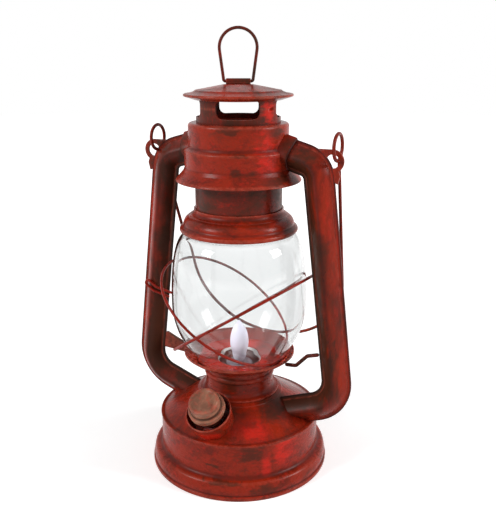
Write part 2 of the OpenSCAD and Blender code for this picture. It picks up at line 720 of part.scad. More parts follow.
// Hairpin clip on the front of the left tube: u in from the leg's middle line, v in front of its seam
function leg_x(z) = tube_corner_x + (corner_z - z) * tan(tube_splay);
function on_left_leg(u, v, z) = [u - leg_x(z), -v, z];
clip_rise = 30;
module left_clip() {
    gap = 1.6;
    drop = 4.2;
    clip_z = rim_z + clip_rise;
    low = on_left_leg(tube_a + seam_w + guard_wire, 1.3 * guard_wire, clip_z - drop);
    mid = on_left_leg(0.4 * tube_a, tube_b + guard_wire / 2 - push_gap, clip_z);
    high = on_left_leg(-0.4 * tube_a, tube_b + guard_wire, clip_z + drop);
    up = [0.6, 0, 0.8] * gap;
    hairpin = [low - up, mid - up, high - up, high + up, mid + up, low + up];
    color(rubbed) wire(hairpin, guard_wire, 0.9 * guard_wire);
}

// Sheet bracket from the left tube to the tray, and the bent wire on the right
function leg_edge(z) = leg_x(z) - (tube_a + seam_w) / cos(tube_splay);
module tray_bracket() {
    thick = 2.4;
    drop = 3.4;
    depth = 3.6;
    sag = 1.8;
    ledge = 9;
    gap = 2 * push_gap;
    high = rim_z - drop;
    low = high - depth;
    foot = tube_elbow_z + (tube_bend_low * tan((90 + tube_splay - tube_land) / 2) + gap) * cos(tube_splay);
    outline = [
        for (i = [0:section_steps]) let (z = high - depth * i / section_steps) [bowl_out(z) + gap, z],
        [tray_r + ledge / 2, low - sag], [leg_edge(foot) - gap, foot],
        [leg_edge(rim_z + sag) - gap, rim_z + sag],
        [tray_r + ledge, high + sag], [tray_r + ledge / 2, high]
    ];
    color(rubbed) mirror([1, 0, 0]) tube_frame() translate([0, 0, -thick / 2])
        linear_extrude(thick) polygon(outline);
}
module tray_brace() {
    low = rim_z - 4.6;
    high = rim_z + 4.4;
    dip = 3.4;
    reach = 9.8;
    tray_end = bowl_out(low + brace_wire / 2) + push_gap;
    tube_end = leg_edge(high) - 2 * push_gap;
    bent = [[tray_end, 0, low], [tray_r + dip, 0, low + dip / 8], [tray_r + reach, 0, high - dip / 2],
        [tube_end, 0, high]];
    color(rubbed) wire(bent, brace_wire, 1.5 * brace_wire);
}

// Bail: a round bottom, two arms, and a ring through each ear; it sits to the right in the loose holes
module bail() {
    bend = [0, -bail_drop];
    knot = [ear_x, -eye_r];
    turn = atan2(knot[1] - bend[1], knot[0]) - acos(bail_r / norm(knot - bend));
    foot = bend + bail_r * [cos(turn), sin(turn)];
    arm_end = foot + weld * unit(foot - knot);
    color(rubbed) translate([bail_shift, 0, bail_z]) rotate([bail_lean, 0, 0]) {
        rotate([90, 0, 0]) wire_bend(bend, bail_r, -180 - turn, turn, bail_wire);
        for (s = [-1, 1]) {
            rod([s * knot[0], 0, knot[1]], [s * arm_end[0], 0, arm_end[1]], bail_wire - weld / 5);
            translate([s * ear_x, 0, 0]) rotate([0, 90, 0])
                rotate_extrude() translate([eye_r, 0]) circle(d = bail_wire);
        }
    }
}

// Knob, its cup, and the rotary switch under the tank's top
bush_r = shaft_r + 1.2;
bush_h = 4;
nut_h = 2;
hub_z = bush_h + 2 * slide_gap;
rim_h = cup_h;
flange_h = rim_h + 1.2;
body_h = flange_h + 3.2;
module knob_cup() {
    foot = cup_r - 1;
    skirt = 3;
    color(paint) difference() {
        on_knob_axis() difference() {
            union() {
                translate([0, 0, -skirt]) cylinder(h = skirt, r = foot);
                cylinder(h = cup_h, r1 = foot, r2 = cup_r);
            }
            translate([0, 0, sheet + push_gap]) cylinder(h = cup_h, r1 = foot - sheet, r2 = cup_r - sheet);
            translate([0, 0, -big / 2]) cylinder(h = big, r = bush_r + push_gap);
        }
        rotate_extrude() tank_cut();
    }
}
// The switch hangs low enough to clear the round of the cone above it
switch_z = -sheet - push_gap - pow(switch_r, 2) * sin(top_slope) / (1.6 * knob_seat_r);
module switch_body() {
    color(black) on_knob_axis() difference() {
        union() {
            translate([0, 0, switch_z - switch_l]) cylinder(h = switch_l, r = switch_r);
            translate([0, 0, switch_z - push_gap]) cylinder(h = bush_h - switch_z + push_gap, r = bush_r);
        }
        translate([0, 0, switch_z - switch_l / 2]) cylinder(h = big, r = shaft_r + run_gap);
    }
}
module switch_nut() {
    color(bare_steel) on_knob_axis() translate([0, 0, sheet + 2 * push_gap]) difference() {
        cylinder(h = nut_h, r = bush_r + 2.4, $fn = 6);
        translate([0, 0, -1]) cylinder(h = big, r = bush_r + push_gap);
    }
}
module switch_shaft() {
    start = switch_z - switch_l / 2 + slide_gap;
    color(bare_steel) on_knob_axis() translate([0, 0, start]) cylinder(h = flange_h - start, r = shaft_r);
}
module knob() {
    bevel = 0.7;
    hub = bush_r + 2.4;
    color(rubbed) on_knob_axis() difference() {
        rotate_extrude() polygon([
            [0, hub_z], [hub, hub_z], [hub, flange_h], [knob_flange_r - bevel, flange_h],
            [knob_flange_r, flange_h + bevel], [knob_flange_r, body_h - bevel], [knob_flange_r - bevel, body_h],
            [knob_r + bevel / 2, body_h], [knob_r + bevel / 2, rim_h + knob_rise - 2 * bevel],
            [knob_r - bevel / 2, rim_h + knob_rise], [0, rim_h + knob_rise]
        ]);
        translate([0, 0, hub_z - 1]) cylinder(h = flange_h + push_gap - hub_z + 1, r = shaft_r + push_gap);
    }
}

// Base plate on the foot's lip, with a recess below for the battery cover and a window for the cells
base_r = min(skirt_at(box_z), skirt_at(base_z)) - 1.25 * sheet - push_gap;
cell_room_l = box_l - 2 * box_wall;
cell_room_w = box_w - 2 * box_wall;
cover_l = cell_room_l + 4;
cover_w = cell_room_w + 2;
tongue_l = cover_travel + 1;
tongue_w = 1.6;
tongue_h = 0.8;
tongue_x = cover_l / 4;
module base_plate() {
    recess_l = cover_l + 2 * slide_gap + cover_travel;
    recess_w = cover_w + 2 * slide_gap;
    recess_h = cover_t + slide_gap;
    slot_w = recess_w + 2 * tongue_w;
    slot_z = base_z + cover_t - tongue_h - slide_gap;
    slot_h = tongue_h + 2 * slide_gap;
    color(black) difference() {
        translate([0, 0, base_z]) cylinder(h = base_t, r = base_r);
        translate([-cover_l / 2 - slide_gap, -recess_w / 2, -big / 2])
            cube([recess_l, recess_w, big / 2 + base_z + recess_h]);
        translate([-cell_room_l / 2, -cell_room_w / 2, -big / 2]) cube([cell_room_l, cell_room_w, big]);
        for (x = [-tongue_x, tongue_x]) translate([x - tongue_l / 2 - slide_gap, -slot_w / 2, 0]) {
            translate([0, 0, slot_z]) cube([tongue_l + cover_travel + 2 * slide_gap, slot_w, slot_h]);
            translate([cover_travel, 0, -big / 2])
                cube([tongue_l + 2 * slide_gap, slot_w, big / 2 + slot_z + slot_h]);
        }
        for (p = box_feet) translate([p[0], p[1], box_z - screw_bite])
            cylinder(h = big, d = screw_d + 2 * push_gap);
    }
}
module battery_cover() {
    grip_l = 12;
    grip_n = 4;
    grip_w = 1;
    color(black) difference() {
        union() {
            translate([-cover_l / 2, -cover_w / 2, base_z]) cube([cover_l, cover_w, cover_t]);
            for (x = [-tongue_x, tongue_x])
                translate([x - tongue_l / 2, -cover_w / 2 - tongue_w, base_z + cover_t - tongue_h])
                cube([tongue_l, cover_w + 2 * tongue_w, tongue_h]);
        }
        for (i = [0:grip_n - 1]) translate([-cover_l / 2 + 2 * grip_w * (i + 2), -grip_l / 2, 0])
            cube([grip_w, grip_l, base_z + cover_t / 3]);
    }
}

// Battery box over the window, its screws, the cells and their contacts
screw_d = 2.4;
screw_bite = 2.4;
foot_t = 2;
foot_out = 3.6;
box_feet = [for (x = [-1, 1], y = [-1, 1]) [x * (box_l / 2 - 8), y * (box_w / 2 + foot_out)]];
stand_h = 2.4;
board_l = 34;
board_w = 16;
board_y = 10;
board_t = 1.6;
board_z = box_top_z + stand_h;
board_holes = [for (x = [-1, 1]) [x * (board_l / 2 - 3), board_y]];
module battery_box() {
    color(black) difference() {
        union() {
            translate([-box_l / 2, -box_w / 2, box_z + push_gap])
                cube([box_l, box_w, box_top_z - box_z - push_gap]);
            for (p = box_feet) translate([p[0], p[1], box_z + push_gap]) {
                cylinder(h = foot_t, r = foot_out);
                translate([-foot_out, p[1] > 0 ? -foot_out - box_wall : 0, 0])
                    cube([2 * foot_out, foot_out + box_wall, foot_t]);
            }
            for (p = board_holes) translate([p[0], p[1], box_top_z - box_wall / 2])
                cylinder(h = stand_h + box_wall / 2 - push_gap, d = screw_d + 2 * box_wall);
        }
        translate([-cell_room_l / 2, -cell_room_w / 2, 0])
            cube([cell_room_l, cell_room_w, box_top_z - box_wall]);
        for (p = box_feet) translate([p[0], p[1], 0]) cylinder(h = big, d = screw_d + 2 * push_gap);
        for (p = board_holes) translate([p[0], p[1], box_top_z]) cylinder(h = big, d = screw_d + 2 * push_gap);
    }
}
module box_screws() {
    color(bare_steel) for (p = box_feet) translate([p[0], p[1], box_z - screw_bite + push_gap])
        pan_screw(screw_bite + foot_t + push_gap, screw_d, 2 * screw_d, 1.5);
}
function cell_y(i) = (i - (cell_n - 1) / 2) * (cell_d + push_gap);
function cell_way(i) = i % 2 == 0 ? 1 : -1;
nub_l = 1.2;
module cell(i) {
    nub_r = 2.7;
    color([0.2, 0.35, 0.3]) translate([0, cell_y(i), cell_z]) rotate([0, 90 * cell_way(i), 0])
        translate([0, 0, -cell_l / 2]) {
            cylinder(h = cell_l - nub_l, d = cell_d);
            translate([0, 0, cell_l - 2 * nub_l]) cylinder(h = 2 * nub_l, r = nub_r);
        }
}
module cell_1() { cell(0); }
module cell_2() { cell(1); }
module cell_3() { cell(2); }
contact_t = 0.4;
contact_w = 10;
module contact_sheet() {
    translate([0, -contact_w / 2, -contact_w / 2]) cube([contact_t, contact_w, contact_w]);
}
// One end of the cell room seen from inside, with x measured from the wall
module at_cell_end(i, end) {
    translate([end * cell_room_l / 2, cell_y(i), cell_z]) mirror([end > 0 ? 1 : 0, 0, 0])
        translate([push_gap, 0, 0]) children();
}
module contact_springs() {
    wire_d = 0.9;
    turns = 4;
    foot_r_in = 4.2;
    taper = 0.5;
    pitch = (contact_room - 2 * push_gap - contact_t - wire_d / 2) / turns;
    color(bare_steel) for (i = [0:cell_n - 1]) at_cell_end(i, -cell_way(i)) {
        contact_sheet();
        for (k = [0:turns - 1]) translate([contact_t + wire_d / 3 + pitch * k, 0, 0]) rotate([0, 90, 0])
            rotate_extrude() translate([foot_r_in - taper * k, 0]) circle(d = wire_d, $fn = 16);
    }
}
module contact_plates() {
    color(bare_steel) for (i = [0:cell_n - 1]) at_cell_end(i, cell_way(i)) {
        contact_sheet();
        cylinder_x(contact_room - 2 * push_gap, contact_w / 5);
    }
}
module cylinder_x(h, r) { rotate([0, 90, 0]) cylinder(h = h, r = r); }

// Circuit board on the box, its screws, and the leads
chip_l = 6;
chip_w = 4.8;
capacitor_r = 2.5;
module circuit_board() {
    color([0.1, 0.35, 0.2]) difference() {
        translate([-board_l / 2, board_y - board_w / 2, board_z]) {
            cube([board_l, board_w, board_t]);
            translate([board_l / 2 - chip_l / 2, board_w / 2 - chip_w / 2, board_t - push_gap])
                cube([chip_l, chip_w, board_t]);
            translate([board_l / 2 + chip_l, board_w / 2 + capacitor_r, board_t - push_gap])
                cylinder(h = 2 * capacitor_r, r = capacitor_r);
            translate([board_l / 2 - 1.5 * chip_l, board_w / 2 + capacitor_r, board_t - push_gap])
                cube([chip_l / 2, chip_w / 3, 0.75 * board_t]);
        }
        for (p = board_holes) translate([p[0], p[1], 0]) cylinder(h = big, d = screw_d + 2 * push_gap);
    }
}
module board_screws() {
    color(bare_steel) for (p = board_holes) translate([p[0], p[1], box_top_z + push_gap])
        pan_screw(stand_h + board_t + push_gap, screw_d, 2 * screw_d, 1.5);
}
board_top = board_z + board_t + push_gap + lead_d / 2;
lead_land = 2;
module lamp_leads() {
    edge_y = board_y - board_w / 2;
    color("red") for (x = [-lead_pitch, lead_pitch])
        wire([[x / 2, 0, cup_floor_z - push_gap], [x / 2, 0, seat_z], [x, edge_y, board_top + 2 * lead_land],
            [x, edge_y + lead_land, board_top]], lead_d, 1.5 * lead_d);
}
module switch_leads() {
    end_h = switch_l + 2 * push_gap - switch_z;
    y = -knob_seat_r + end_h * sin(top_slope);
    z = knob_seat_z - end_h * cos(top_slope);
    color("red") for (x = [-lead_pitch, lead_pitch])
        wire([[x, y, z], [2 * x, y + 4 * lead_d, board_top + lead_d],
            [3 * x, board_y - board_w / 2 + lead_land, board_top]], lead_d, 1.5 * lead_d);
}
module battery_leads() {
    x = box_l / 2 + lead_d;
    color(black) for (s = [-1, 1]) wire([[s * x, board_y, cell_z], [s * x, board_y, board_top + 2],
        [s * (board_l / 2 - 1), board_y + board_w / 3, board_top]], lead_d, 1.5 * lead_d);
}

tank_wall();
tank_top();
base_plate();
battery_box();
battery_cover();
cell_1();
cell_2();
cell_3();
contact_springs();
contact_plates();
box_screws();
circuit_board();
board_screws();
battery_leads();
lamp_leads();
switch_leads();
neck();
tray_bowl();
burner_plate();
lamp_holder();
lamp_base();
led();
flame();
globe();
bell();
chimney();
hood();
vent_collar();
cap();
loop_strap();
finger_loop();
left_tube_front();
left_tube_back();
right_tube_front();
right_tube_back();
inner_hoop();
outer_hoop();
left_clip();
tray_bracket();
tray_brace();
bail();
knob_cup();
switch_body();
switch_nut();
switch_shaft();
knob();
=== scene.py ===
"""Barn-style lantern in worn red paint, lit by a flame-shaped lamp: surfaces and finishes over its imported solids."""

import math
from collections import namedtuple

import bmesh
import bpy
import numpy as np
from bpy.props import FloatProperty, FloatVectorProperty, PointerProperty
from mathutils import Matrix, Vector


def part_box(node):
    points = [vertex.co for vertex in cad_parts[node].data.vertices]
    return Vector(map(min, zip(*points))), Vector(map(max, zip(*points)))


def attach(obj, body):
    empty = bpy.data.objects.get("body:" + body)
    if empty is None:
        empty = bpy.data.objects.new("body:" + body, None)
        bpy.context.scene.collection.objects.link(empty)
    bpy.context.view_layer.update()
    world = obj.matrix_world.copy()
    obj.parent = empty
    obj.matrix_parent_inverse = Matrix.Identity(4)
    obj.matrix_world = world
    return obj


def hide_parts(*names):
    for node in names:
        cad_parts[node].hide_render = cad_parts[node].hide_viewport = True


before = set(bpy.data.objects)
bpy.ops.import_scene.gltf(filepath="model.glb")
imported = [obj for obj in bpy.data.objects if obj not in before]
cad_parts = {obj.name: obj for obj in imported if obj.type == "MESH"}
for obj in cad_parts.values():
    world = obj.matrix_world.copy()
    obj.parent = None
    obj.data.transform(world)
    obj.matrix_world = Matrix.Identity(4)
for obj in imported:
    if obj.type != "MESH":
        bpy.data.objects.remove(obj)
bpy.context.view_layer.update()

bl_info = {
    "name": "Barn lantern",
    "version": (1, 0, 0),
    "blender": (4, 5, 0),
    "location": "View3D > Sidebar > Lantern",
    "description": "Builds the surfaces and finishes of a red barn lantern over its packed solids",
    "category": "Object",
}

MM = 0.001
AROUND = 144
STEP = 1.4
WIRE_STEP = 1.2
WIRE_SIDES = 14
SHARP = math.radians(42)
CAP_TURN = math.radians(25)
TOP_SLOPE = math.radians(31.5)

# Places that several pieces share, in millimetres: radii of the seats of the neck and the knob, the tray below its rim,
# and the middle line of a side tube from its end on the hood by way of its corner to its elbow
NECK_SEAT, KNOB_SEAT = 22.2, 32.6
TRAY_COLLAR, TRAY_DEPTH, COLLAR_HEIGHT, TRAY_LIP, PLATE_DROP = 19.7, 9.4, 1.6, 1.2, 5
TUBE_END, TUBE_RISE, TUBE_CORNER, TUBE_ELBOW = 30.2, 14.3, 43.5, 44.1
TUBE_FALL, TUBE_SPLAY = math.radians(16), math.radians(6.9)
EAR_OUT, EAR_UP = 7.7, 2.2


def top_of(node):
    """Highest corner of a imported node, in metres."""
    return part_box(node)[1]


def low_of(node):
    """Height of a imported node's lowest point, in millimetres."""
    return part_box(node)[0].z / MM


def length(name, description, default):
    """A size property in metres."""
    return FloatProperty(name=name, description=description, default=default, min=0, subtype="DISTANCE", unit="LENGTH")


def shade(name, description, *rgb):
    """A colour property, written as the 0 to 255 values that a screen shows."""
    linear = [((c / 255 + 0.055) / 1.055) ** 2.4 if c > 10 else c / 3294.6 for c in rgb]
    return FloatVectorProperty(
        name=name, description=description, default=linear, size=3, min=0, max=1, subtype="COLOR")


class LanternSizes(bpy.types.PropertyGroup):
    """Sizes of the lantern's surfaces"""

    foot_radius: length("Foot radius", "Outer radius of the rolled band at the foot", top_of("tank_wall").y)
    tank_radius: length("Tank radius", "Outer radius of the tank's upright wall", 0.0445)
    tank_height: length("Tank height", "Height of the seam between the wall and the conical top", 0.0297)
    sheet: length("Sheet", "Thickness of the spun steel sheet", 0.0008)
    neck_radius: length("Neck radius", "Radius of the neck's waist", 0.0189)
    tray_radius: length("Tray radius", "Outer radius of the tray's rim", top_of("tray_bowl").x)
    rim_height: length("Tray rim height", "Height of the tray's rim above the table", top_of("tray_bowl").z)
    globe_radius: length("Globe radius", "Outer radius of the globe at its widest", top_of("globe").x)
    glass: length("Glass", "Thickness of the globe's glass", 0.0014)
    bell_radius: length("Bell radius", "Outer radius of the bell's bead", top_of("bell").x)
    chimney_radius: length("Chimney radius", "Outer radius of the chimney", top_of("chimney").x)
    brim_radius: length("Brim radius", "Outer radius of the hood's brim", 0.0329)
    hood_radius: length("Hood radius", "Outer radius of the hood's lower wall", 0.0281)
    hood_height: length("Hood height", "Height of the hood's flat top above the table", top_of("hood").z)
    vent_radius: length("Vent radius", "Outer radius of the vent collar", 0.0217)
    cap_radius: length("Cap radius", "Outer radius of the cap", top_of("cap").x)
    tube_half_width: length("Tube half width", "Half width of a side tube's rounded body", 0.0068)
    tube_half_depth: length("Tube half depth", "Depth of a side tube from its seam to its ridge", 0.0065)
    seam_width: length("Seam width", "Width of the flange beside a side tube's body", 0.0014)
    loop_wire: length("Loop wire", "Diameter of the finger loop's wire", 0.0016)
    bail_wire: length("Bail wire", "Diameter of the bail's wire", 0.0018)
    guard_wire: length("Guard wire", "Diameter of the guard hoops' wire", 0.0015)
    brace_wire: length("Brace wire", "Diameter of the wire between the tray and the right tube", 0.0021)
    knob_radius: length("Knob radius", "Radius of the knob's top", 0.0077)
    flame_radius: length("Flame radius", "Radius of the flame at its widest", 0.0052)


class LanternColours(bpy.types.PropertyGroup):
    """Colours of the lantern's finishes"""

    red: shade("Red paint", "Main colour of the paint", 146, 37, 15)
    deep: shade("Deep red", "Darker tone of the paint", 98, 27, 13)
    # Also the colour of a painted highlight on the hood's right side.
    bright: shade("Bright red", "Fresh paint in patches that aren't rubbed", 198, 35, 23)
    edge: shade("Worn edge", "Pale red on corners that are rubbed often", 172, 80, 62)
    # Also the colour of two placed patches that are partly painted shadow: on the chimney under the hood's brim and on
    # the tank's top by the right tube.
    brown: shade("Rubbed brown", "Dark brown where the paint is rubbed", 56, 31, 19)
    # Near black of nicks and seam dirt, also painted shade in hollows and where parts meet.
    soot: shade("Seam dark", "Near black that collects in seams", 24, 10, 8)
    knob: shade("Knob brown", "Greyish brown of the knob", 152, 106, 84)
    knob_deep: shade("Deep knob brown", "Darker brown in the knob's grooves", 108, 70, 54)
    glass: shade("Glass", "Tint of the globe", 250, 252, 252)
    flame: shade("Flame", "Milky plastic of the flame", 226, 224, 240)
    cup: shade("Lamp cup", "Pale plastic of the cup round the flame's foot", 232, 230, 228)
    lamp_base: shade("Lamp base", "Grey plastic under the flame", 126, 116, 124)
    plastic: shade("Black plastic", "Moulded plastic of the base and the battery box", 30, 30, 32)
    steel: shade("Bare steel", "Screws, shaft and contacts", 176, 176, 180)
    label: shade("Cell sleeve", "Sleeve of a battery cell", 46, 72, 66)
    board: shade("Board green", "Circuit board", 28, 88, 52)
    sleeve: shade("Lead sleeve", "Sleeve of the leads", 150, 26, 24)
    # Painted shade inside the lamp cup.
    cup_inside: shade("Cup inside", "Shaded inside of the lamp cup", 92, 40, 36)
    floor: shade("Floor", "Pale studio floor", 244, 244, 244)


def size(name):
    """A size of the lantern in millimetres."""
    return getattr(bpy.context.scene.lantern_sizes, name) / MM


def colour(name, share=1.0):
    """A colour of the lantern, or a darker share of it, as four numbers."""
    return (*(share * c for c in getattr(bpy.context.scene.lantern_colours, name)), 1)


# Paths and surfaces. Every shape is worked out in millimetres as a whole array of points

Grid = namedtuple("Grid", "points around along turn capped rub", defaults=(0.0, False, 0.0))


def unit(v):
    """Vectors divided by their lengths."""
    return v / np.linalg.norm(v, axis=-1, keepdims=True)


def rounded(corners, radii, steps=9):
    """A path through corners in which corner i becomes an arc of radii[i], tangent to both of its sides: centre
    + cos t (tangent point - centre) - sin t r (way back), with t from 0 to 180 degrees less the corner's angle.
    A corner takes less than half of each side, and one that is nearly straight or has radius 0 stays a point."""
    corners = [np.array(c, float) for c in corners]
    path = [corners[0][None]]
    for before, corner, after, r in zip(corners, corners[1:], corners[2:], radii):
        a, b = unit(before - corner), unit(after - corner)
        half = math.acos(np.clip(a @ b, -1, 1)) / 2
        if r == 0 or half > 1.57:
            path.append(corner[None])
            continue
        shorter = min(np.linalg.norm(before - corner), np.linalg.norm(after - corner))
        cut = min(r / math.tan(half), 0.499 * shorter)
        r = cut * math.tan(half)
        centre = corner + unit(a + b) * r / math.sin(half)
        spread = np.linspace(0, math.pi - 2 * half, steps)[:, None]
        path.append(centre + np.cos(spread) * (corner + a * cut - centre) - np.sin(spread) * a * r)
    path.append(corners[-1][None])
    return np.concatenate(path)


def arc(centre, r, start, end, steps=14):
    """Points centre + r (cos a, sin a) for a from start to end, in degrees."""
    a = np.radians(np.linspace(start, end, steps))
    return np.array(centre) + r * np.stack([np.cos(a), np.sin(a)], 1)


def spaced(path, step):
    """The same path with each side cut into equal pieces no longer than step."""
    path = path[np.r_[True, np.linalg.norm(np.diff(path, axis=0), axis=1) > 1e-6]]
    counts = np.ceil(np.linalg.norm(np.diff(path, axis=0), axis=1) / step).astype(int)
    side = np.repeat(np.arange(len(counts)), counts)
    share = (np.arange(counts.sum()) - np.repeat(np.cumsum(counts) - counts, counts)) / counts[side]
    return np.concatenate([path[side] + share[:, None] * (path[side + 1] - path[side]), path[-1:]])


def beside(path, t):
    """The path moved by t to the left of its direction, with mitred corners."""
    d = unit(np.diff(path, axis=0))
    left = np.stack([-d[:, 1], d[:, 0]], 1)
    a, b = np.concatenate([left[:1], left]), np.concatenate([left, left[-1:]])
    return path + t * (a + b) / np.maximum(1 + (a * b).sum(1, keepdims=True), 0.3)


def turn_of(path, closed, reach=0.9):
    """How sharply a path bends within reach of each point, from -1 in a hollow corner to 1 on an outer one:
    the sum of its turning angles, each weighed by exp(-(distance / reach) squared), over 1.3 radians."""
    ends = (path[-1:], path[:1]) if closed else (path[:1], path[-1:])
    full = np.concatenate([ends[0], path, ends[1]])
    d = np.diff(full, axis=0)
    angle = np.arctan2(d[:-1, 0] * d[1:, 1] - d[:-1, 1] * d[1:, 0], (d[:-1] * d[1:]).sum(1))
    steps = np.linalg.norm(d, axis=1)
    place = np.cumsum(steps[:-1])
    gap = np.abs(place[:, None] - place[None])
    if closed:
        gap = np.minimum(gap, steps[1:].sum() - gap)
    return np.clip((np.exp(-((gap / reach) ** 2)) * angle).sum(1) / 1.3, -1, 1)


def revolve(path, closed, around=AROUND):
    """A profile (r, z) carried round the Z axis: x = r cos a, y = r sin a, z = z."""
    a = np.linspace(0, 2 * math.pi, around, endpoint=False)[:, None]
    r, z = path[:, 0], path[:, 1]
    points = np.stack([np.cos(a) * r, np.sin(a) * r, np.broadcast_to(z, (around, len(z)))], -1)
    return Grid(points, True, closed, turn_of(path, closed))


def spun_sheet(path, thick):
    """A ring of sheet: the outer path and the same path moved inwards make one closed loop that is revolved."""
    loop = np.concatenate([path, beside(path, thick)[::-1], path[:1]])
    return revolve(spaced(loop, STEP)[:-1], True)


def spun_dish(path, thick):
    """A dish of sheet whose outer path ends on the axis: inner face from the axis out, then the outer face back."""
    return revolve(spaced(np.concatenate([beside(path, thick)[::-1], path]), STEP), False)


def wire(path, d, up, closed=False):
    """A circle of diameter d carried along a path: p + d/2 (cos a n + sin a m), where n is up made square to the
    path and m is square to both. Open ends are rounded over by two smaller circles and a point."""
    path = np.asarray(path, float)
    if closed:
        along = unit(np.roll(path, -1, 0) - np.roll(path, 1, 0))
        r = np.full(len(path), d / 2)
    else:
        path = spaced(path, WIRE_STEP)
        along = unit(np.gradient(path, axis=0))
        first, last = along[:1], along[-1:]
        dome = np.array([[1.0], [0.8], [0.4]]) * d / 2
        path = np.concatenate([path[:1] - dome * first, path, path[-1:] + dome[::-1] * last])
        along = np.concatenate([np.repeat(first, 3, 0), along, np.repeat(last, 3, 0)])
        share = np.array([0, 0.6, 0.917])
        r = np.concatenate([share, np.ones(len(path) - 6), share[::-1]]) * d / 2
    up = np.broadcast_to(np.asarray(up, float), path.shape)
    n = unit(up - (up * along).sum(1, keepdims=True) * along)
    m = np.cross(along, n)
    a = np.linspace(0, 2 * math.pi, WIRE_SIDES, endpoint=False)[None, :, None]
    points = path[:, None] + r[:, None, None] * (np.cos(a) * n[:, None] + np.sin(a) * m[:, None])
    return Grid(points, closed, True)


def lens(a, b, low):
    """Half of a side tube's section: v = b (1 - |u / a| to the power 1.7), down to v = low."""
    power = 1.7
    edge = a * (1 - low / b) ** (1 / power)
    u = edge * np.sin(np.radians(np.linspace(-90, 90, 45)))
    return np.stack([u, b * (1 - (np.abs(u) / a) ** power)], 1)


def moved(grid, points):
    """The same grid with other points."""
    return grid._replace(points=points)


def drawn_in(loop, shares, centre=(0, 0)):
    """Copies of a loop (u, v), each drawn in to its share: centre + share (point - centre); gives u and v apart."""
    return np.moveaxis(centre + np.array(shares)[:, None, None] * (loop - np.array(centre)), -1, 0)


def turned(points, axis, angle):
    """Points turned by an angle about the X, Y or Z axis, given as 0, 1 or 2."""
    c, s = math.cos(angle), math.sin(angle)
    i, j = (axis + 1) % 3, (axis + 2) % 3
    spin = np.eye(3)
    spin[[i, i, j, j], [i, j, i, j]] = c, s, -s, c
    return points @ spin


def on_knob_axis(grid):
    """A grid stood on the tank's slope: turned about X by the slope, then put on the knob's seat."""
    return moved(grid, turned(grid.points, 0, TOP_SLOPE) + [0, -KNOB_SEAT, tank_top_at(KNOB_SEAT)])


def tank_top_at(r):
    """Height of the tank's conical top at radius r."""
    return size("tank_height") + (size("tank_radius") - 2 * size("sheet") - r) * math.tan(TOP_SLOPE)


def grid_faces(grid, start):
    """Index rows of a grid's four-sided faces, going round each closed direction."""
    nu, nv = grid.points.shape[:2]
    i = np.arange(nu if grid.around else nu - 1)[:, None]
    j = np.arange(nv if grid.along else nv - 1)[None]
    i2, j2 = (i + 1) % nu, (j + 1) % nv
    return start + np.stack([i * nv + j, i2 * nv + j, i2 * nv + j2, i * nv + j2], -1).reshape(-1, 4)


def make_piece(name, nodes, grids, finish, body="lantern"):
    """Puts one or more grids into a mesh, closes their poles and ends, and sets the piece in the frame."""
    points, faces, turns, rubs, start = [], [], [], [], 0
    for grid in grids:
        nu, nv = grid.points.shape[:2]
        points.append(grid.points.reshape(-1, 3))
        turns.append(np.broadcast_to(grid.turn, (nu, nv)).ravel())
        rubs.append(np.broadcast_to(grid.rub, (nu, nv)).ravel())
        faces += grid_faces(grid, start).tolist()
        if grid.capped:
            faces += [list(range(start, start + nv)), list(range(start + (nu - 1) * nv, start + nu * nv))]
        start += nu * nv
    mesh = bpy.data.meshes.new(name)
    mesh.from_pydata((np.concatenate(points) * MM).tolist(), [], faces)
    for label, values in (("turn", turns), ("rub", rubs)):
        values = np.concatenate(values).astype(np.float32)
        mesh.attributes.new(label, "FLOAT", "POINT").data.foreach_set("value", values)
    work = bmesh.new()
    work.from_mesh(mesh)
    bmesh.ops.remove_doubles(work, verts=work.verts, dist=1e-7)
    bmesh.ops.dissolve_degenerate(work, edges=work.edges, dist=1e-8)
    bmesh.ops.recalc_face_normals(work, faces=work.faces)
    work.to_mesh(mesh)
    work.free()
    mesh.shade_smooth()
    mesh.set_sharp_from_angle(angle=SHARP)
    piece = bpy.data.objects.new(name, mesh)
    bpy.context.scene.collection.objects.link(piece)
    mesh.materials.append(finish)
    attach(piece, body)
    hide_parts(*nodes)


# Finishes

def feed(node, **inputs):
    """Gives a node's inputs, by name with _ for a space or as in_N by place, their values, or links sockets to them."""
    for key, value in inputs.items():
        socket = node.inputs[int(key[3:])] if key.startswith("in_") else node.inputs[key.replace("_", " ")]
        if isinstance(value, bpy.types.NodeSocket):
            node.id_data.links.new(value, socket)
        else:
            socket.default_value = value


def add(tree, kind, settings=(), **inputs):
    """Adds a node with its settings and inputs."""
    node = tree.nodes.new(kind)
    for key, value in dict(settings).items():
        setattr(node, key, value)
    feed(node, **inputs)
    return node


def calc(operation, *values):
    """One step of arithmetic on values, at least one of which is a socket."""
    tree = next(v for v in values if isinstance(v, bpy.types.NodeSocket)).id_data
    inputs = {f"in_{i}": v for i, v in enumerate(values)}
    return add(tree, "ShaderNodeMath", {"operation": operation}, **inputs).outputs[0]


def between(value, low, high, to_low=0.0, to_high=1.0):
    """A soft step: to_low where value is under low, to_high where it is over high, smooth in the middle."""
    return add(value.id_data, "ShaderNodeMapRange", {"interpolation_type": "SMOOTHSTEP"}, Value=value, From_Min=low,
               From_Max=high, To_Min=to_low, To_Max=to_high).outputs[0]


def mix(share, a, b):
    """Colour a going over to colour b by share."""
    return add(share.id_data, "ShaderNodeMix", {"data_type": "RGBA"}, in_0=share, in_6=a, in_7=b).outputs[2]


def noise(vector, scale, detail=3.0, rough=0.55, distortion=0.0):
    """Cloudy noise from 0 to 1."""
    return add(vector.id_data, "ShaderNodeTexNoise", Vector=vector, Scale=scale, Detail=detail, Roughness=rough,
               Distortion=distortion).outputs["Fac"]


def vector_math(operation, *vectors):
    """One step of arithmetic on vectors; gives the node, since LENGTH puts out a value."""
    inputs = {f"in_{i}": v for i, v in enumerate(vectors)}
    return add(vectors[0].id_data, "ShaderNodeVectorMath", {"operation": operation}, **inputs)


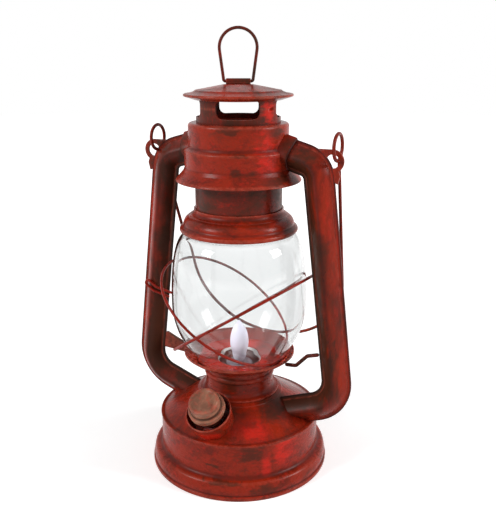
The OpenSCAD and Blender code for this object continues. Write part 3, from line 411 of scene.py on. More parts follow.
def bumped(height, strength, distance):
    """Normal of a surface that height raises."""
    return add(height.id_data, "ShaderNodeBump", Height=height, Strength=strength, Distance=distance).outputs[0]


def new_group(name, inputs, outputs):
    """An empty shader node group with named sockets: its tree, what it is given and its output node."""
    tree = bpy.data.node_groups.new(name, "ShaderNodeTree")
    for label, kind, default in inputs:
        socket = tree.interface.new_socket(label, in_out="INPUT", socket_type="NodeSocket" + kind)
        if default is not None:
            socket.default_value = default
    for label, kind in outputs:
        tree.interface.new_socket(label, in_out="OUTPUT", socket_type="NodeSocket" + kind)
    return tree, tree.nodes.new("NodeGroupInput").outputs, tree.nodes.new("NodeGroupOutput")


def smudge_group():
    """Mask of one patch with a torn edge: 1 inside an ellipsoid about Centre, 0 outside, its edge moved by noise."""
    if "Smudge" in bpy.data.node_groups:
        return bpy.data.node_groups["Smudge"]
    tree, given, put = new_group(
        "Smudge",
        [("Vector", "Vector", None), ("Centre", "Vector", None), ("Reach", "Vector", (0.01, 0.01, 0.01)),
         ("Torn", "Float", 0.9)],
        [("Mask", "Float")],
    )
    away = vector_math("SUBTRACT", given["Vector"], given["Centre"]).outputs[0]
    far = vector_math("LENGTH", vector_math("DIVIDE", away, given["Reach"]).outputs[0]).outputs["Value"]
    level = add(tree, "ShaderNodeMapping", Vector=given["Vector"], Scale=(1, 1, 2.6)).outputs[0]
    grain = calc("SUBTRACT", noise(level, 170.0, 5.0, 0.65), 0.5)
    torn = calc("MULTIPLY", grain, calc("MULTIPLY", given["Torn"], 4.0))
    feed(put, Mask=between(calc("ADD", far, torn), 1.35, 0.3))
    return tree


def paint_group():
    """Worn paint: two reds by broad noise, brown where streaky noise passes the rub level, near black where the surface
    is hollow (partly seam dirt, partly painted shade), pale red on outer corners, dark nicks, with roughness and height
    to match. Placed bright patches are fresh paint, except the hood's, which is a painted highlight; two placed brown
    patches are partly painted shadow."""
    if "Worn paint" in bpy.data.node_groups:
        return bpy.data.node_groups["Worn paint"]
    tree, given, put = new_group(
        "Worn paint",
        [("Vector", "Vector", None), ("Red", "Color", None), ("Deep", "Color", None), ("Bright", "Color", None),
         ("Brown", "Color", None), ("Edge", "Color", None), ("Soot", "Color", None), ("Rub", "Float", 0.4),
         ("Rub Scale", "Float", 60.0), ("Turn", "Float", 0.0), ("Edge Wear", "Float", 0.6), ("Dirt", "Float", 0.7),
         ("Brown Patch", "Float", 0.0), ("Bright Patch", "Float", 0.0)],
        [("Color", "Color"), ("Roughness", "Float"), ("Height", "Float")],
    )
    where = given["Vector"]
    broad = noise(where, 60.0, 6.0, 0.66, 0.4)
    fine = noise(where, 420.0, 4.0, 0.65)
    grain = noise(where, 1500.0, 2.0, 0.6)
    streak = noise(where, given["Rub Scale"], 8.0, 0.7, 0.4)
    body = mix(between(broad, 0.36, 0.64), given["Deep"], given["Red"])
    body = mix(calc("MULTIPLY", between(fine, 0.46, 0.72), 0.32), body, given["Bright"])
    # Placed bright patches: fresh paint, and on the hood a painted highlight.
    fresh_paint_and_highlight = calc("MULTIPLY", given["Bright Patch"], between(streak, 0.36, 0.6, 0.25, 0.95))
    body = mix(fresh_paint_and_highlight, body, given["Bright"])
    level = calc("SUBTRACT", 0.72, calc("MULTIPLY", given["Rub"], 0.42))
    rough_edge = calc("MULTIPLY_ADD", calc("SUBTRACT", fine, 0.5), 0.22, streak)
    rubbed = between(calc("SUBTRACT", rough_edge, level), -0.11, 0.17)
    kept = calc("SUBTRACT", 1.0, calc("MULTIPLY", given["Bright Patch"], 0.8))
    rubbed = calc("MULTIPLY", rubbed, kept)
    # Placed brown patches: stains, and in two places partly painted shadow.
    stain_and_shadow = calc("MULTIPLY", given["Brown Patch"], between(streak, 0.3, 0.6, 0.35, 0.9))
    rubbed = calc("MAXIMUM", rubbed, stain_and_shadow)
    body = mix(calc("MULTIPLY", rubbed, 0.95), body, given["Brown"])
    nick = between(noise(where, 330.0, 5.0, 0.72, 0.6), 0.66, 0.72)
    body = mix(calc("MULTIPLY", nick, 0.75), body, given["Soot"])
    outer = calc("MULTIPLY", between(given["Turn"], 0.12, 0.75), between(fine, 0.25, 0.7))
    outer = calc("MULTIPLY", outer, given["Edge Wear"])
    body = mix(outer, body, given["Edge"])
    # Near black in hollows, from the turn attribute: partly seam dirt, partly painted shade in creases, at steps and
    # where parts meet.
    hollow = calc("MULTIPLY", between(given["Turn"], -0.08, -0.7), given["Dirt"])
    body = mix(hollow, body, given["Soot"])
    rough = calc("MULTIPLY_ADD", rubbed, 0.16, 0.27)
    rough = calc("MULTIPLY_ADD", calc("SUBTRACT", fine, 0.5), 0.22, rough)
    height = calc("MULTIPLY_ADD", grain, 0.35, calc("MULTIPLY", fine, 0.5))
    height = calc("MULTIPLY_ADD", rubbed, -0.5, height)
    feed(put, Color=body, Roughness=calc("MULTIPLY_ADD", hollow, 0.2, rough),
         Height=calc("MULTIPLY_ADD", broad, 1.2, height))
    return tree


def new_material(name):
    """A material with a Principled shader, and its tree, shader and object coordinates."""
    finish = bpy.data.materials.new(name)
    finish.use_nodes = True
    tree = finish.node_tree
    shader = next(n for n in tree.nodes if n.type == "BSDF_PRINCIPLED")
    return finish, tree, shader, tree.nodes.new("ShaderNodeTexCoord").outputs["Object"]


def patch_mask(tree, where, patches):
    """The largest of several smudges, each given as centre and reach in millimetres and how torn its edge is."""
    mask = None
    for centre, reach, torn in patches:
        smudge = add(tree, "ShaderNodeGroup", {"node_tree": smudge_group()}, Vector=where,
                     Centre=[c * MM for c in centre], Reach=[r * MM for r in reach], Torn=torn).outputs["Mask"]
        mask = smudge if mask is None else calc("MAXIMUM", mask, smudge)
    return mask


def worn_paint(name, red="red", deep="deep", rub=0.4, scale=60.0, stretch=(1, 1, 1), start=(0, 0, 0), wear=0.6,
               bump=0.12, browns=(), brights=()):
    """Worn paint of one piece: its own rub, streak direction and placed smudges. Most smudges are stains and fresh
    paint; the hood's bright one is a painted highlight, and the brown ones on the chimney and by the right tube on the
    tank's top are partly painted shadow.
    """
    finish, tree, shader, where = new_material(name)
    mapped = add(tree, "ShaderNodeMapping", Vector=where, Location=start, Scale=stretch).outputs[0]
    turn, more = (add(tree, "ShaderNodeAttribute", {"attribute_name": label}).outputs["Fac"]
                  for label in ("turn", "rub"))
    paint = add(tree, "ShaderNodeGroup", {"node_tree": paint_group()}, Vector=mapped, Red=colour(red),
                Deep=colour(deep), Bright=colour("bright"), Brown=colour("brown"), Edge=colour("edge"),
                Soot=colour("soot"), Rub=calc("ADD", more, rub), Rub_Scale=scale, Turn=turn, Edge_Wear=wear)
    if browns:
        feed(paint, Brown_Patch=patch_mask(tree, where, browns))
    if brights:
        feed(paint, Bright_Patch=patch_mask(tree, where, brights))
    put = paint.outputs
    feed(shader, Base_Color=put["Color"], Roughness=put["Roughness"], Normal=bumped(put["Height"], bump, 0.0004),
         Specular_IOR_Level=0.12)
    return finish


def moulded(name, base, roughness=0.5, metal=0.0):
    """Plain moulded or pressed stuff: its colour varied a little by noise, with a fine grain."""
    finish, _, shader, where = new_material(name)
    fine = noise(where, 900.0)
    grain = calc("SUBTRACT", fine, 0.5)
    feed(shader, Base_Color=mix(noise(where, 120.0, 4.0), colour(base, 0.82), colour(base)), Metallic=metal,
         Roughness=calc("MULTIPLY_ADD", grain, 0.25, roughness), Normal=bumped(fine, 0.08, 0.0003))
    return finish


def clear_glass():
    """Clear glass with faint smears in its gloss; shadow rays pass through it."""
    finish, tree, shader, where = new_material("clear_glass")
    feed(shader, Base_Color=colour("glass"), Transmission_Weight=1.0, IOR=1.45,
         Roughness=between(noise(where, 40.0, 4.0), 0.45, 0.75, 0.0, 0.03),
         Normal=bumped(noise(where, 26.0, 1.0), 0.05, 0.001))
    depth = add(tree, "ShaderNodeVolumeAbsorption", Color=(0.52, 0.5, 0.5, 1), Density=190.0)
    clear = tree.nodes.new("ShaderNodeBsdfTransparent")
    shadow = tree.nodes.new("ShaderNodeLightPath").outputs["Is Shadow Ray"]
    both = add(tree, "ShaderNodeMixShader", in_0=shadow, in_1=shader.outputs[0], in_2=clear.outputs[0])
    out = next(n for n in tree.nodes if n.type == "OUTPUT_MATERIAL")
    feed(out, Surface=both.outputs[0], Volume=depth.outputs[0])
    return finish


def milky_plastic():
    """Milky plastic that light soaks into, a little greyer towards its foot."""
    finish, tree, shader, where = new_material("milky_plastic")
    height = add(tree, "ShaderNodeSeparateXYZ", Vector=where).outputs["Z"]
    feed(shader, Base_Color=mix(between(height, 0.060, 0.070), colour("flame", 0.72), colour("flame")), Roughness=0.42,
         Subsurface_Weight=0.35, Subsurface_Radius=(0.003, 0.003, 0.003),
         Normal=bumped(noise(where, 700.0, 2.0), 0.06, 0.0003))
    return finish


class Build:
    """Base of the lantern's operators."""

    bl_options = {"REGISTER", "UNDO"}


class LANTERN_OT_stage(Build, bpy.types.Operator):
    """Camera at the photograph's angle, pale floor, white surround and soft studio lamps"""

    bl_idname = "lantern.stage"
    bl_label = "Stage"

    def execute(self, context):
        scene = context.scene
        scene.view_settings.view_transform = "Standard"
        camera = bpy.data.objects.new("camera", bpy.data.cameras.new("camera"))
        scene.collection.objects.link(camera)
        camera.location = (0.15731, -0.32361, 0.22483)
        az, el = math.radians(25.15), math.radians(16.75)
        back = Vector((math.sin(az) * math.cos(el), -math.cos(az) * math.cos(el), math.sin(el)))
        camera.rotation_euler = (-back).to_track_quat("-Z", "Y").to_euler()
        camera.data.sensor_width = 36
        camera.data.lens = 47.78
        camera.data.clip_start = 0.01
        scene.camera = camera
        self.lamp("key", (-0.7, -0.9, 0.75), (0, 0, 0.10), 0.42, 12.0)
        self.lamp("fill", (1.05, 0.2, 0.6), (0, 0, 0.10), 0.4, 11.0)
        self.surround(scene)
        self.floor(scene)
        return {"FINISHED"}

    def lamp(self, name, place, target, across, watts):
        """One square soft lamp that faces target."""
        data = bpy.data.lights.new(name, "AREA")
        data.size = across
        data.energy = watts
        lamp = bpy.data.objects.new(name, data)
        bpy.context.scene.collection.objects.link(lamp)
        lamp.location = place
        lamp.rotation_euler = (Vector(target) - Vector(place)).to_track_quat("-Z", "Y").to_euler()

    def seen(self, tree):
        """1 for rays that see the surround straight, in gloss or through glass."""
        path = tree.nodes.new("ShaderNodeLightPath").outputs
        glossy = calc("MAXIMUM", path["Is Camera Ray"], path["Is Glossy Ray"])
        return calc("MAXIMUM", glossy, path["Is Transmission Ray"])

    def surround(self, scene):
        """White where it is seen, and a soft plain light for the rest."""
        scene.world = scene.world or bpy.data.worlds.new("surround")
        scene.world.use_nodes = True
        tree = scene.world.node_tree
        light = next(n for n in tree.nodes if n.type == "BACKGROUND")
        feed(light, Color=(1, 1, 1, 1), Strength=between(self.seen(tree), 0, 1, 0.26, 1.0))

    def floor(self, scene):
        """A wide flat disc under the lantern: rings of (r cos a, r sin a, 0)."""
        r = np.array([0, 30, 60, 90, 150, 300, 600, 1200, 2400.0])
        grid = revolve(np.stack([r, 0 * r], 1), False, 64)
        mesh = bpy.data.meshes.new("floor")
        mesh.from_pydata((grid.points.reshape(-1, 3) * MM).tolist(), [], grid_faces(grid, 0).tolist())
        floor = bpy.data.objects.new("floor", mesh)
        scene.collection.objects.link(floor)
        finish, tree, shader, where = new_material("studio_floor")
        glow = between(vector_math("LENGTH", where).outputs["Value"], 0.1, 0.9, 0.4, 1.0)
        feed(shader, Base_Color=colour("floor"), Roughness=0.9, Specular_IOR_Level=0.0, Emission_Color=(1, 1, 1, 1),
             Emission_Strength=calc("MULTIPLY", self.seen(tree), glow))
        mesh.materials.append(finish)


class LANTERN_OT_tank(Build, bpy.types.Operator):
    """Foot, skirt and upright wall of the tank, and its conical top"""

    bl_idname = "lantern.tank"
    bl_label = "Tank"

    def execute(self, context):
        foot, wall, seam, sheet = size("foot_radius"), size("tank_radius"), size("tank_height"), size("sheet")
        outline = rounded(
            [(foot - 4, 0), (foot, 0), (foot, 2.3), (foot - 0.75, 2.6), (foot - 0.55, 5.4), (foot - 1.6, 9.75),
             (wall, 10.5), (wall, seam - sheet)],
            [0.8, 0.9, 0.35, 7, 2.3, 2.6])
        paint = worn_paint(
            "tank_paint", rub=0.24, stretch=(1, 1, 1.5), start=(0.3, 0.1, 0), wear=0.3,
            browns=[((25.4, -36.5, 24.2), (9, 8, 5), 0.8), ((32.7, -37.1, 5.4), (7, 7, 3), 0.9),
                    ((7.6, -43.9, 16.5), (6, 5, 1.1), 1.3), ((15, -47.1, 9.3), (10, 5, 1.1), 1.3)],
            brights=[((38, -23.1, 22.4), (6, 8, 10), 0.5), ((31, -32, 18), (3, 3, 8), 0.5)])
        make_piece("tank_wall_skin", ["tank_wall"], [spun_sheet(outline, sheet)], paint)
        lip, step, seat = wall + 0.4, tank_top_at(24.4), tank_top_at(NECK_SEAT)
        outline = rounded(
            [(lip, seam - sheet + 0.05), (lip, seam), (wall - 2 * sheet, seam), (24.4, step), (24.0, step + 0.5),
             (NECK_SEAT, seat), (14, seat)],
            [0.35, 1.2, 0.2, 0.2, 1.0])
        paint = worn_paint(
            "tank_top_paint", rub=0.34, scale=70.0, start=(0.1, 0.7, 0.2), wear=0.25,
            # The second brown smudge, beside the right tube's landing, is partly a stain and partly painted shadow of
            # the tube.
            browns=[((4, -28, 38), (17, 9, 8), 0.6), ((27, -8, 40), (9, 15, 8), 0.5)],
            brights=[((20, -29, 34), (13, 9, 6), 0.5)])
        make_piece("tank_top_skin", ["tank_top"], [spun_sheet(outline, sheet * 0.9)], paint)
        return {"FINISHED"}


def tray_at(share):
    """Outer radius and height of the tray's underside at a share s of its width: it rises by s (0.6 + 0.4 s) of its
    depth."""
    rim, out = size("rim_height"), size("tray_radius")
    low = rim - TRAY_DEPTH + COLLAR_HEIGHT
    return TRAY_COLLAR + (out - TRAY_COLLAR) * share, low + (rim - TRAY_LIP - low) * share * (0.6 + 0.4 * share)


def tray_out(z):
    """Outer radius of the tray at height z, from the square equation 0.4 s s + 0.6 s = share of its depth."""
    low, high = tray_at(0)[1], tray_at(1)[1]
    return tray_at((math.sqrt(0.36 + 1.6 * (z - low) / (high - low)) - 0.6) / 0.8)[0]


class LANTERN_OT_neck_and_tray(Build, bpy.types.Operator):
    """Waisted neck, dished tray and the plate that the globe stands on"""

    bl_idname = "lantern.neck_and_tray"
    bl_label = "Neck and tray"

    def execute(self, context):
        sheet, rim, out = size("sheet"), size("rim_height"), size("tray_radius")
        seat, tray = tank_top_at(NECK_SEAT), rim - TRAY_DEPTH
        waist, bead = size("neck_radius"), seat + 10.7
        outline = np.concatenate([
            rounded([(22.0, seat + 0.1), (NECK_SEAT, seat + 0.5), (22.0, seat + 1.1)], [0.4]),
            arc((NECK_SEAT, seat + 4.3), 3.3, 255, 186),
            [(waist, bead - 1.5)],
            arc((waist - 1.6, bead), 2.3, -38, 38, 10),
            [(waist, bead + 1.5), (waist, tray - 0.1)],
        ])
        paint = worn_paint("neck_paint", rub=0.3, stretch=(1, 1, 2.4), start=(0.9, 0.2, 0), wear=0.4, bump=0.06,
                           browns=[((4, -19, 52), (9, 6, 7), 0.6)])
        make_piece("neck_skin", ["neck"], [spun_sheet(outline, sheet)], paint)
        outline = np.concatenate([
            rounded([(14, tray), (TRAY_COLLAR, tray), tray_at(0)], [0.5]),
            np.stack(tray_at(np.linspace(0.04, 1, 18)), 1),
            [(out, rim - 0.3), (out - 0.12, rim - 0.06), (out - 0.4, rim)],
        ])
        paint = worn_paint("tray_paint", rub=0.3, scale=44.0, stretch=(1, 1, 1.6), start=(0.4, 0.9, 0))
        make_piece("tray_skin", ["tray_bowl"], [spun_sheet(outline, sheet)], paint)
        plate, edge = rim - PLATE_DROP, tray_out(rim - PLATE_DROP - 0.93) - 0.1
        outline = rounded([(edge, plate), (edge, plate + sheet), (12, plate + sheet)], [0.3])
        paint = worn_paint("plate_paint", "bright", "red", 0.42, 54.0, start=(0.2, 0.4, 0.6), wear=0.15)
        make_piece("plate_skin", ["burner_plate"], [spun_sheet(outline, sheet)], paint)
        return {"FINISHED"}


class LANTERN_OT_lamp(Build, bpy.types.Operator):
    """Pale cup, grey base and milky flame"""

    bl_idname = "lantern.lamp"
    bl_label = "Lamp"

    def execute(self, context):
        """The flame is widest, at r = wide, two fifths up: above that r = wide (1 - share to the power 2.3), and below
        it r = wide (1 - half of share to the power 1.9)."""
        plate = size("rim_height") - PLATE_DROP
        floor, rim = plate - 2.4, plate + 0.4
        chain = np.concatenate([
            rounded([(0, floor - 0.9), (11.9, floor - 0.9), (11.9, rim)], [0.6]),
            rounded([(11.55, rim), (11.5, floor), (0, floor)], [0.5]),
        ])
        make_piece("lamp_cup_skin", ["lamp_holder"], [revolve(spaced(chain, 0.6), False)], self.cup_finish(plate * MM))
        chain = rounded([(0, floor + 0.05), (8.2, floor + 0.05), (5.3, floor + 2), (0, floor + 2.05)], [0.4, 0.5])
        make_piece("lamp_base_skin", ["lamp_base"], [revolve(spaced(chain, 1.0), False)],
                   moulded("base_plastic", "lamp_base", 0.38))
        s, foot = np.linspace(0, 1, 60), floor + 2.1
        above, below = (s - 0.4).clip(0) / 0.6, (0.4 - s).clip(0) / 0.4
        r = size("flame_radius") * (1 - above ** 2.3 - 0.5 * below ** 1.9)
        chain = np.concatenate([[(0, foot)], np.stack([r, foot + 22.4 * s], 1)])
        make_piece("flame_skin", ["flame"], [revolve(chain, False, 64)], milky_plastic())
        return {"FINISHED"}

    def cup_finish(self, plate):
        """Pale plastic at the cup's rim; below it the colour darkens to a dull red that is painted shade for the inside
        of the cup.
        """
        finish, tree, shader, where = new_material("cup_plastic")
        height = add(tree, "ShaderNodeSeparateXYZ", Vector=where).outputs["Z"]
        ragged = calc("MULTIPLY_ADD", noise(where, 220.0), 0.0008, height)
        pale = between(ragged, plate - 0.0007, plate - 0.0003)
        feed(shader, Base_Color=mix(pale, colour("cup_inside"), colour("cup")),
             Roughness=between(noise(where, 500.0), 0.3, 0.7, 0.35, 0.5))
        return finish


class LANTERN_OT_globe(Build, bpy.types.Operator):
    """Clear glass globe: an egg, widest below its middle, with a thin foot and a short upright lip"""

    bl_idname = "lantern.globe"
    bl_label = "Globe"

    def execute(self, context):
        """Outer path: r = wide - (wide - foot) (1 - s) to the power 2.3 up to the widest place, then an ellipse whose
        height goes as sin a to the power 0.83. The glass thins towards its foot."""
        wide, low, foot, neck = size("globe_radius"), size("rim_height") - 4.1, 22.6, 28.7
        top, belly = low + 74, low + 33.5
        s = np.linspace(0, 1, 24)
        a = np.radians(np.linspace(0, 80, 26)[1:])
        outline = np.concatenate([
            np.stack([wide - (wide - foot) * (1 - s) ** 2.3, low + (belly - low) * s], 1),
            np.stack([neck + (wide - neck) * np.cos(a), belly + 37.9 * np.sin(a) ** 0.83], 1),
            rounded([(29.3, top - 2.66), (28.3, top - 2.2), (28.3, top)], [0.6]),
        ])
        thick = np.interp(outline[:, 1] - low, [0, 5, 15], [0.4, 0.8, size("glass")])[:, None]
        inside = outline + thick * (beside(outline, 1.0) - outline)
        loop = np.concatenate([outline, inside[::-1], outline[:1]])
        make_piece("globe_skin", ["globe"], [revolve(spaced(loop, 2.0)[:-1], True)], clear_glass())
        return {"FINISHED"}


class LANTERN_OT_bell_and_chimney(Build, bpy.types.Operator):
    """Beaded bell over the globe, and the plain chimney above it"""

    bl_idname = "lantern.bell_and_chimney"
    bl_label = "Bell and chimney"

    def execute(self, context):
        sheet, bead, pipe, low = size("sheet"), size("bell_radius"), size("chimney_radius"), low_of("bell")
        outline = np.concatenate([
            [(bead - 3.0, low), (bead - 1.6, low)],
            arc((bead - 1.5, low + 1.5), 1.5, -60, 70, 12),
            arc((bead - 7.1, low + 3.9), 5.15, 2, 72, 18),
            arc((pipe + 3.9, low + 12.1), 3.0, 252, 186, 12),
            [(pipe + 0.9, low + 12.6)],
        ])
        paint = worn_paint("bell_paint", rub=0.36, scale=64.0, stretch=(1, 1, 2.4), start=(0.6, 0.3, 0.1), wear=0.5)
        make_piece("bell_skin", ["bell"], [spun_sheet(outline, sheet)], paint)
        outline = np.array([(pipe, low + 6.3), (pipe, top_of("chimney").z / MM)])
        paint = worn_paint("chimney_paint", "deep", rub=0.6, stretch=(1, 1, 1.6), start=(0.2, 0.8, 0.3),
                           # The brown smudge at the chimney's top, under the hood's brim, is partly a stain and partly
                           # painted shadow of the brim.
                           browns=[((-2, -22.5, 158), (13, 6, 5), 0.7)])
        make_piece("chimney_skin", ["chimney"], [spun_sheet(outline, sheet)], paint)
        return {"FINISHED"}


class LANTERN_OT_hood(Build, bpy.types.Operator):
    """Hood with its brim, stepped wall and flat top, and the pads that the side tubes end on"""

    bl_idname = "lantern.hood"
    bl_label = "Hood"

    def execute(self, context):
        sheet, brim, wall, top = size("sheet"), size("brim_radius"), size("hood_radius"), size("hood_height")
        upper, low = wall - 2.1, low_of("hood")
        step, floor = low + 17, low + 6.8
        outline = rounded(
            [(brim - 0.3, low - 0.02), (brim, low + 0.4), (brim - 0.35, low + 1.0), (wall + 0.9, low + 5.1),
             (wall, low + 7), (wall, step - 1.2), (upper + 0.5, step), (upper, step + 0.9), (upper, top),
             (size("vent_radius") - 0.9, top)],
            [0.3, 0.4, 1.2, 1.2, 1.0, 0.4, 0.4, 1.7])
        ring = np.array([(size("chimney_radius") + 0.1, floor), (wall - 0.5, floor)])
        paint = worn_paint(
            "hood_paint", rub=0.22, stretch=(1, 1, 1.5), start=(0.5, 0.5, 0.9), wear=0.45,
            browns=[((6.8, -25.1, 189), (6, 6, 3), 0.8), ((24.9, -7.6, 187.4), (5, 6, 4), 0.8),
                    ((13.3, -24.8, 177.3), (4, 4, 1.3), 1.2), ((11.5, -27, 168.6), (4, 4, 1.6), 1.2),
                    ((18.5, -23, 168.4), (3, 3, 1.3), 1.2), ((28, -14, 165), (7, 11, 4), 0.7),
                    ((30, -4, 177), (5, 11, 9), 0.4), ((-30, -4, 177), (5, 11, 9), 0.4)],
            # The bright smudge on the hood's right side is a painted highlight.
            brights=[((24, -15, 176), (7, 7, 12), 0.8)])
        grids = [spun_sheet(path, sheet) for path in (outline, ring)]
        make_piece("hood_skin", ["hood"], grids + [self.pad(side, low + TUBE_RISE) for side in (1, -1)], paint)
        return {"FINISHED"}

    def pad(self, side, height):
        """The tube's lens section, grown by a rim, carried straight along the tube's top run into the hood; its outer
        end is drawn in over the last half millimetre so that the rim looks rolled."""
        half = lens(size("tube_half_width") + size("seam_width") + 1, size("tube_half_depth") + 1.8, 0)
        loop = np.concatenate([half[:-1], (half * [1, -1])[::-1][:-1]])
        along = np.array([0.1, 0.2, 0.5, 1.0, 2.5, 6.3])[:, None]
        u, v = drawn_in(loop, [0.92, 0.965, 0.99, 1, 1, 1])
        c, s = math.cos(TUBE_FALL), math.sin(TUBE_FALL)
        points = np.stack([side * (TUBE_END - along * c + u * s), v, height + along * s + u * c], -1)
        # The turn values mark the pad's outer end as hollow, so the paint goes near black where the tube enters it:
        # partly seam dirt, partly painted shade.
        return Grid(points, False, True, np.array([-0.7, -0.7, -0.5, -0.2, 0, 0])[:, None], True)


class LANTERN_OT_vent_and_cap(Build, bpy.types.Operator):
    """Vent collar with four windows, and the shallow cap over it"""

    bl_idname = "lantern.vent_and_cap"
    bl_label = "Vent collar and cap"

    def execute(self, context):
        paint = worn_paint(
            "vent_paint", "deep", rub=0.52, scale=46.0, stretch=(1.8, 1.8, 0.6), start=(0.7, 0.1, 0.4),
            browns=[((-7.4, -20.4, 197), (6, 5, 8), 0.7)], brights=[((20.4, -7.4, 197), (4, 5, 7), 0.7)])
        make_piece("vent_skin", ["vent_collar"], self.collar(), paint)
        edge, cap = size("hood_height") + 13.5, size("cap_radius")
        ring, crown = 0.76 * cap, edge + 5.2
        outline = np.concatenate([
            [(22.6, edge - 2.2), (cap - 3, edge - 1.4)],
            arc((cap - 0.7, edge), 0.7, -60, 100, 10),
            rounded([(ring + 4.2, edge + 0.9), (ring + 1.7, edge + 1.7), (ring + 0.6, edge + 2.5),
                     (ring - 0.6, edge + 2.65), (7.4, crown), (0, crown)], [2, 0.8, 0.9, 4]),
        ])
        paint = worn_paint("cap_paint", scale=80.0, start=(0.1, 0.2, 0.8), wear=0.5)
        make_piece("cap_skin", ["cap"], [spun_dish(outline, 0.48)], paint)
        return {"FINISHED"}

    def collar(self):
        """Two rings of posts that meet half way up: the lower ring's top edge dips to the window's sill between posts,
        and the upper ring's bottom edge rises to its head, with round corners of radius c where |x| nears the jamb."""
        r, c, base = size("vent_radius"), 3.4, size("hood_height")
        sill, head, mid = base + 2.8, base + 12.3, base + 7.55
        jamb = r * math.sin(math.radians(30))
        x = np.r_[-jamb, -jamb + c * (1 - np.cos(np.radians(np.linspace(0, 90, 12)))), np.linspace(c - jamb, 0, 8)[1:]]
        dip = np.r_[0, c - np.sqrt(np.maximum(c * c - (c - (x[1:] + jamb).clip(0, c)) ** 2, 0))]
        x, dip = np.r_[x, -x[::-1][1:]], np.r_[dip, dip[::-1][1:]]
        post = np.radians(np.linspace(30, 60, 8)[1:-1])
        low, high = (np.r_[mid, edge[1:-1], np.full(len(post) + 1, mid)] for edge in (sill + dip, head - dip))
        quarter = np.arange(4)[:, None] * math.pi / 2 - math.pi / 2 + CAP_TURN
        angle = (quarter + np.r_[np.arcsin(x / r), post]).ravel()
        return [self.ring(angle, np.full(len(angle), base - 1.9), np.tile(low, 4)),
                self.ring(angle, np.tile(high, 4), np.full(len(angle), base + 15.3))]

    def ring(self, angle, bottom, top):
        """A closed wall whose lower and upper edges change with the angle."""
        r, share = size("vent_radius"), np.linspace(0, 1, 7)
        z = bottom[:, None] + (top - bottom)[:, None] * np.r_[share, share[::-1]]
        far = np.repeat([r, r - size("sheet")], 7)
        points = np.stack([np.cos(angle)[:, None] * far, np.sin(angle)[:, None] * far, z], -1)
        return Grid(points, True, True, np.where(np.isin(np.arange(14), (0, 6, 7, 13)), 0.5, 0.0))


class LANTERN_OT_finger_loop(Build, bpy.types.Operator):
    """Strap on the cap and the wire loop that folds in it"""

    bl_idname = "lantern.finger_loop"
    bl_label = "Finger loop"

    def execute(self, context):
        d, flat = size("loop_wire"), size("hood_height") + 18.7
        crown, hinge = d / 2 + 0.8, flat + 1.5
        section = np.concatenate([
            rounded([(0, 0.1), (2.3, 0.1), (2.3, 0.9), (crown, 0.95), (crown, 1.5)], [0.15, 0.35, 0.3]),
            arc((0, 1.5), crown - 0.2, 12, 168, 16),
            rounded([(-crown, 1.5), (-crown, 0.95), (-2.3, 0.9), (-2.3, 0.1), (0, 0.1)], [0.3, 0.35, 0.15])[:-1],
        ])
        x = np.array([-6.2, -6.05, -5.6, -2, 2, 5.6, 6.05, 6.2])[:, None]
        y, z = drawn_in(section, [0.93, 0.98, 1, 1, 1, 1, 0.98, 0.93])
        points = turned(np.stack([np.broadcast_to(x, y.shape), y, flat + z], -1), 2, CAP_TURN)
        paint = worn_paint("strap_paint", "deep", rub=0.62, scale=70.0, start=(0.3, 0.3, 0.1))
        strap = Grid(points, False, True, np.where(np.abs(x) > 5.9, 0.6, 0), True)
        make_piece("strap_skin", ["loop_strap"], [strap], paint)
        rise, bend, foot = 16.2, 9.4, 7.3
        turn = math.acos(bend / math.hypot(foot, rise)) + math.atan2(-rise, foot)
        leg_top = (bend * math.cos(turn), rise + bend * math.sin(turn))
        leg = rounded([(2.4, 0), (foot, 0), leg_top], [1.0])[:-1]
        turn = math.degrees(turn)
        path = np.concatenate([leg, arc((0, rise), bend, turn, 180 - turn, 40), (leg * [-1, 1])[::-1]])
        loop = wire(np.insert(path, 1, 0, 1) + [0, 0, hinge], d, (0, 1, 0))
        paint = worn_paint("loop_paint", "deep", rub=0.6, scale=80.0, start=(0.9, 0.6, 0.1))
        make_piece("loop_skin", ["finger_loop"], [moved(loop, turned(loop.points, 2, CAP_TURN))], paint,
                   "finger_loop")
        return {"FINISHED"}


def tube_corner():
    """Upper corner (x, z) of a side tube's middle line, below its end on the hood by the fall of its top run."""
    fall = (TUBE_CORNER - TUBE_END) * math.tan(TUBE_FALL)
    return np.array([TUBE_CORNER, low_of("hood") + TUBE_RISE - fall])


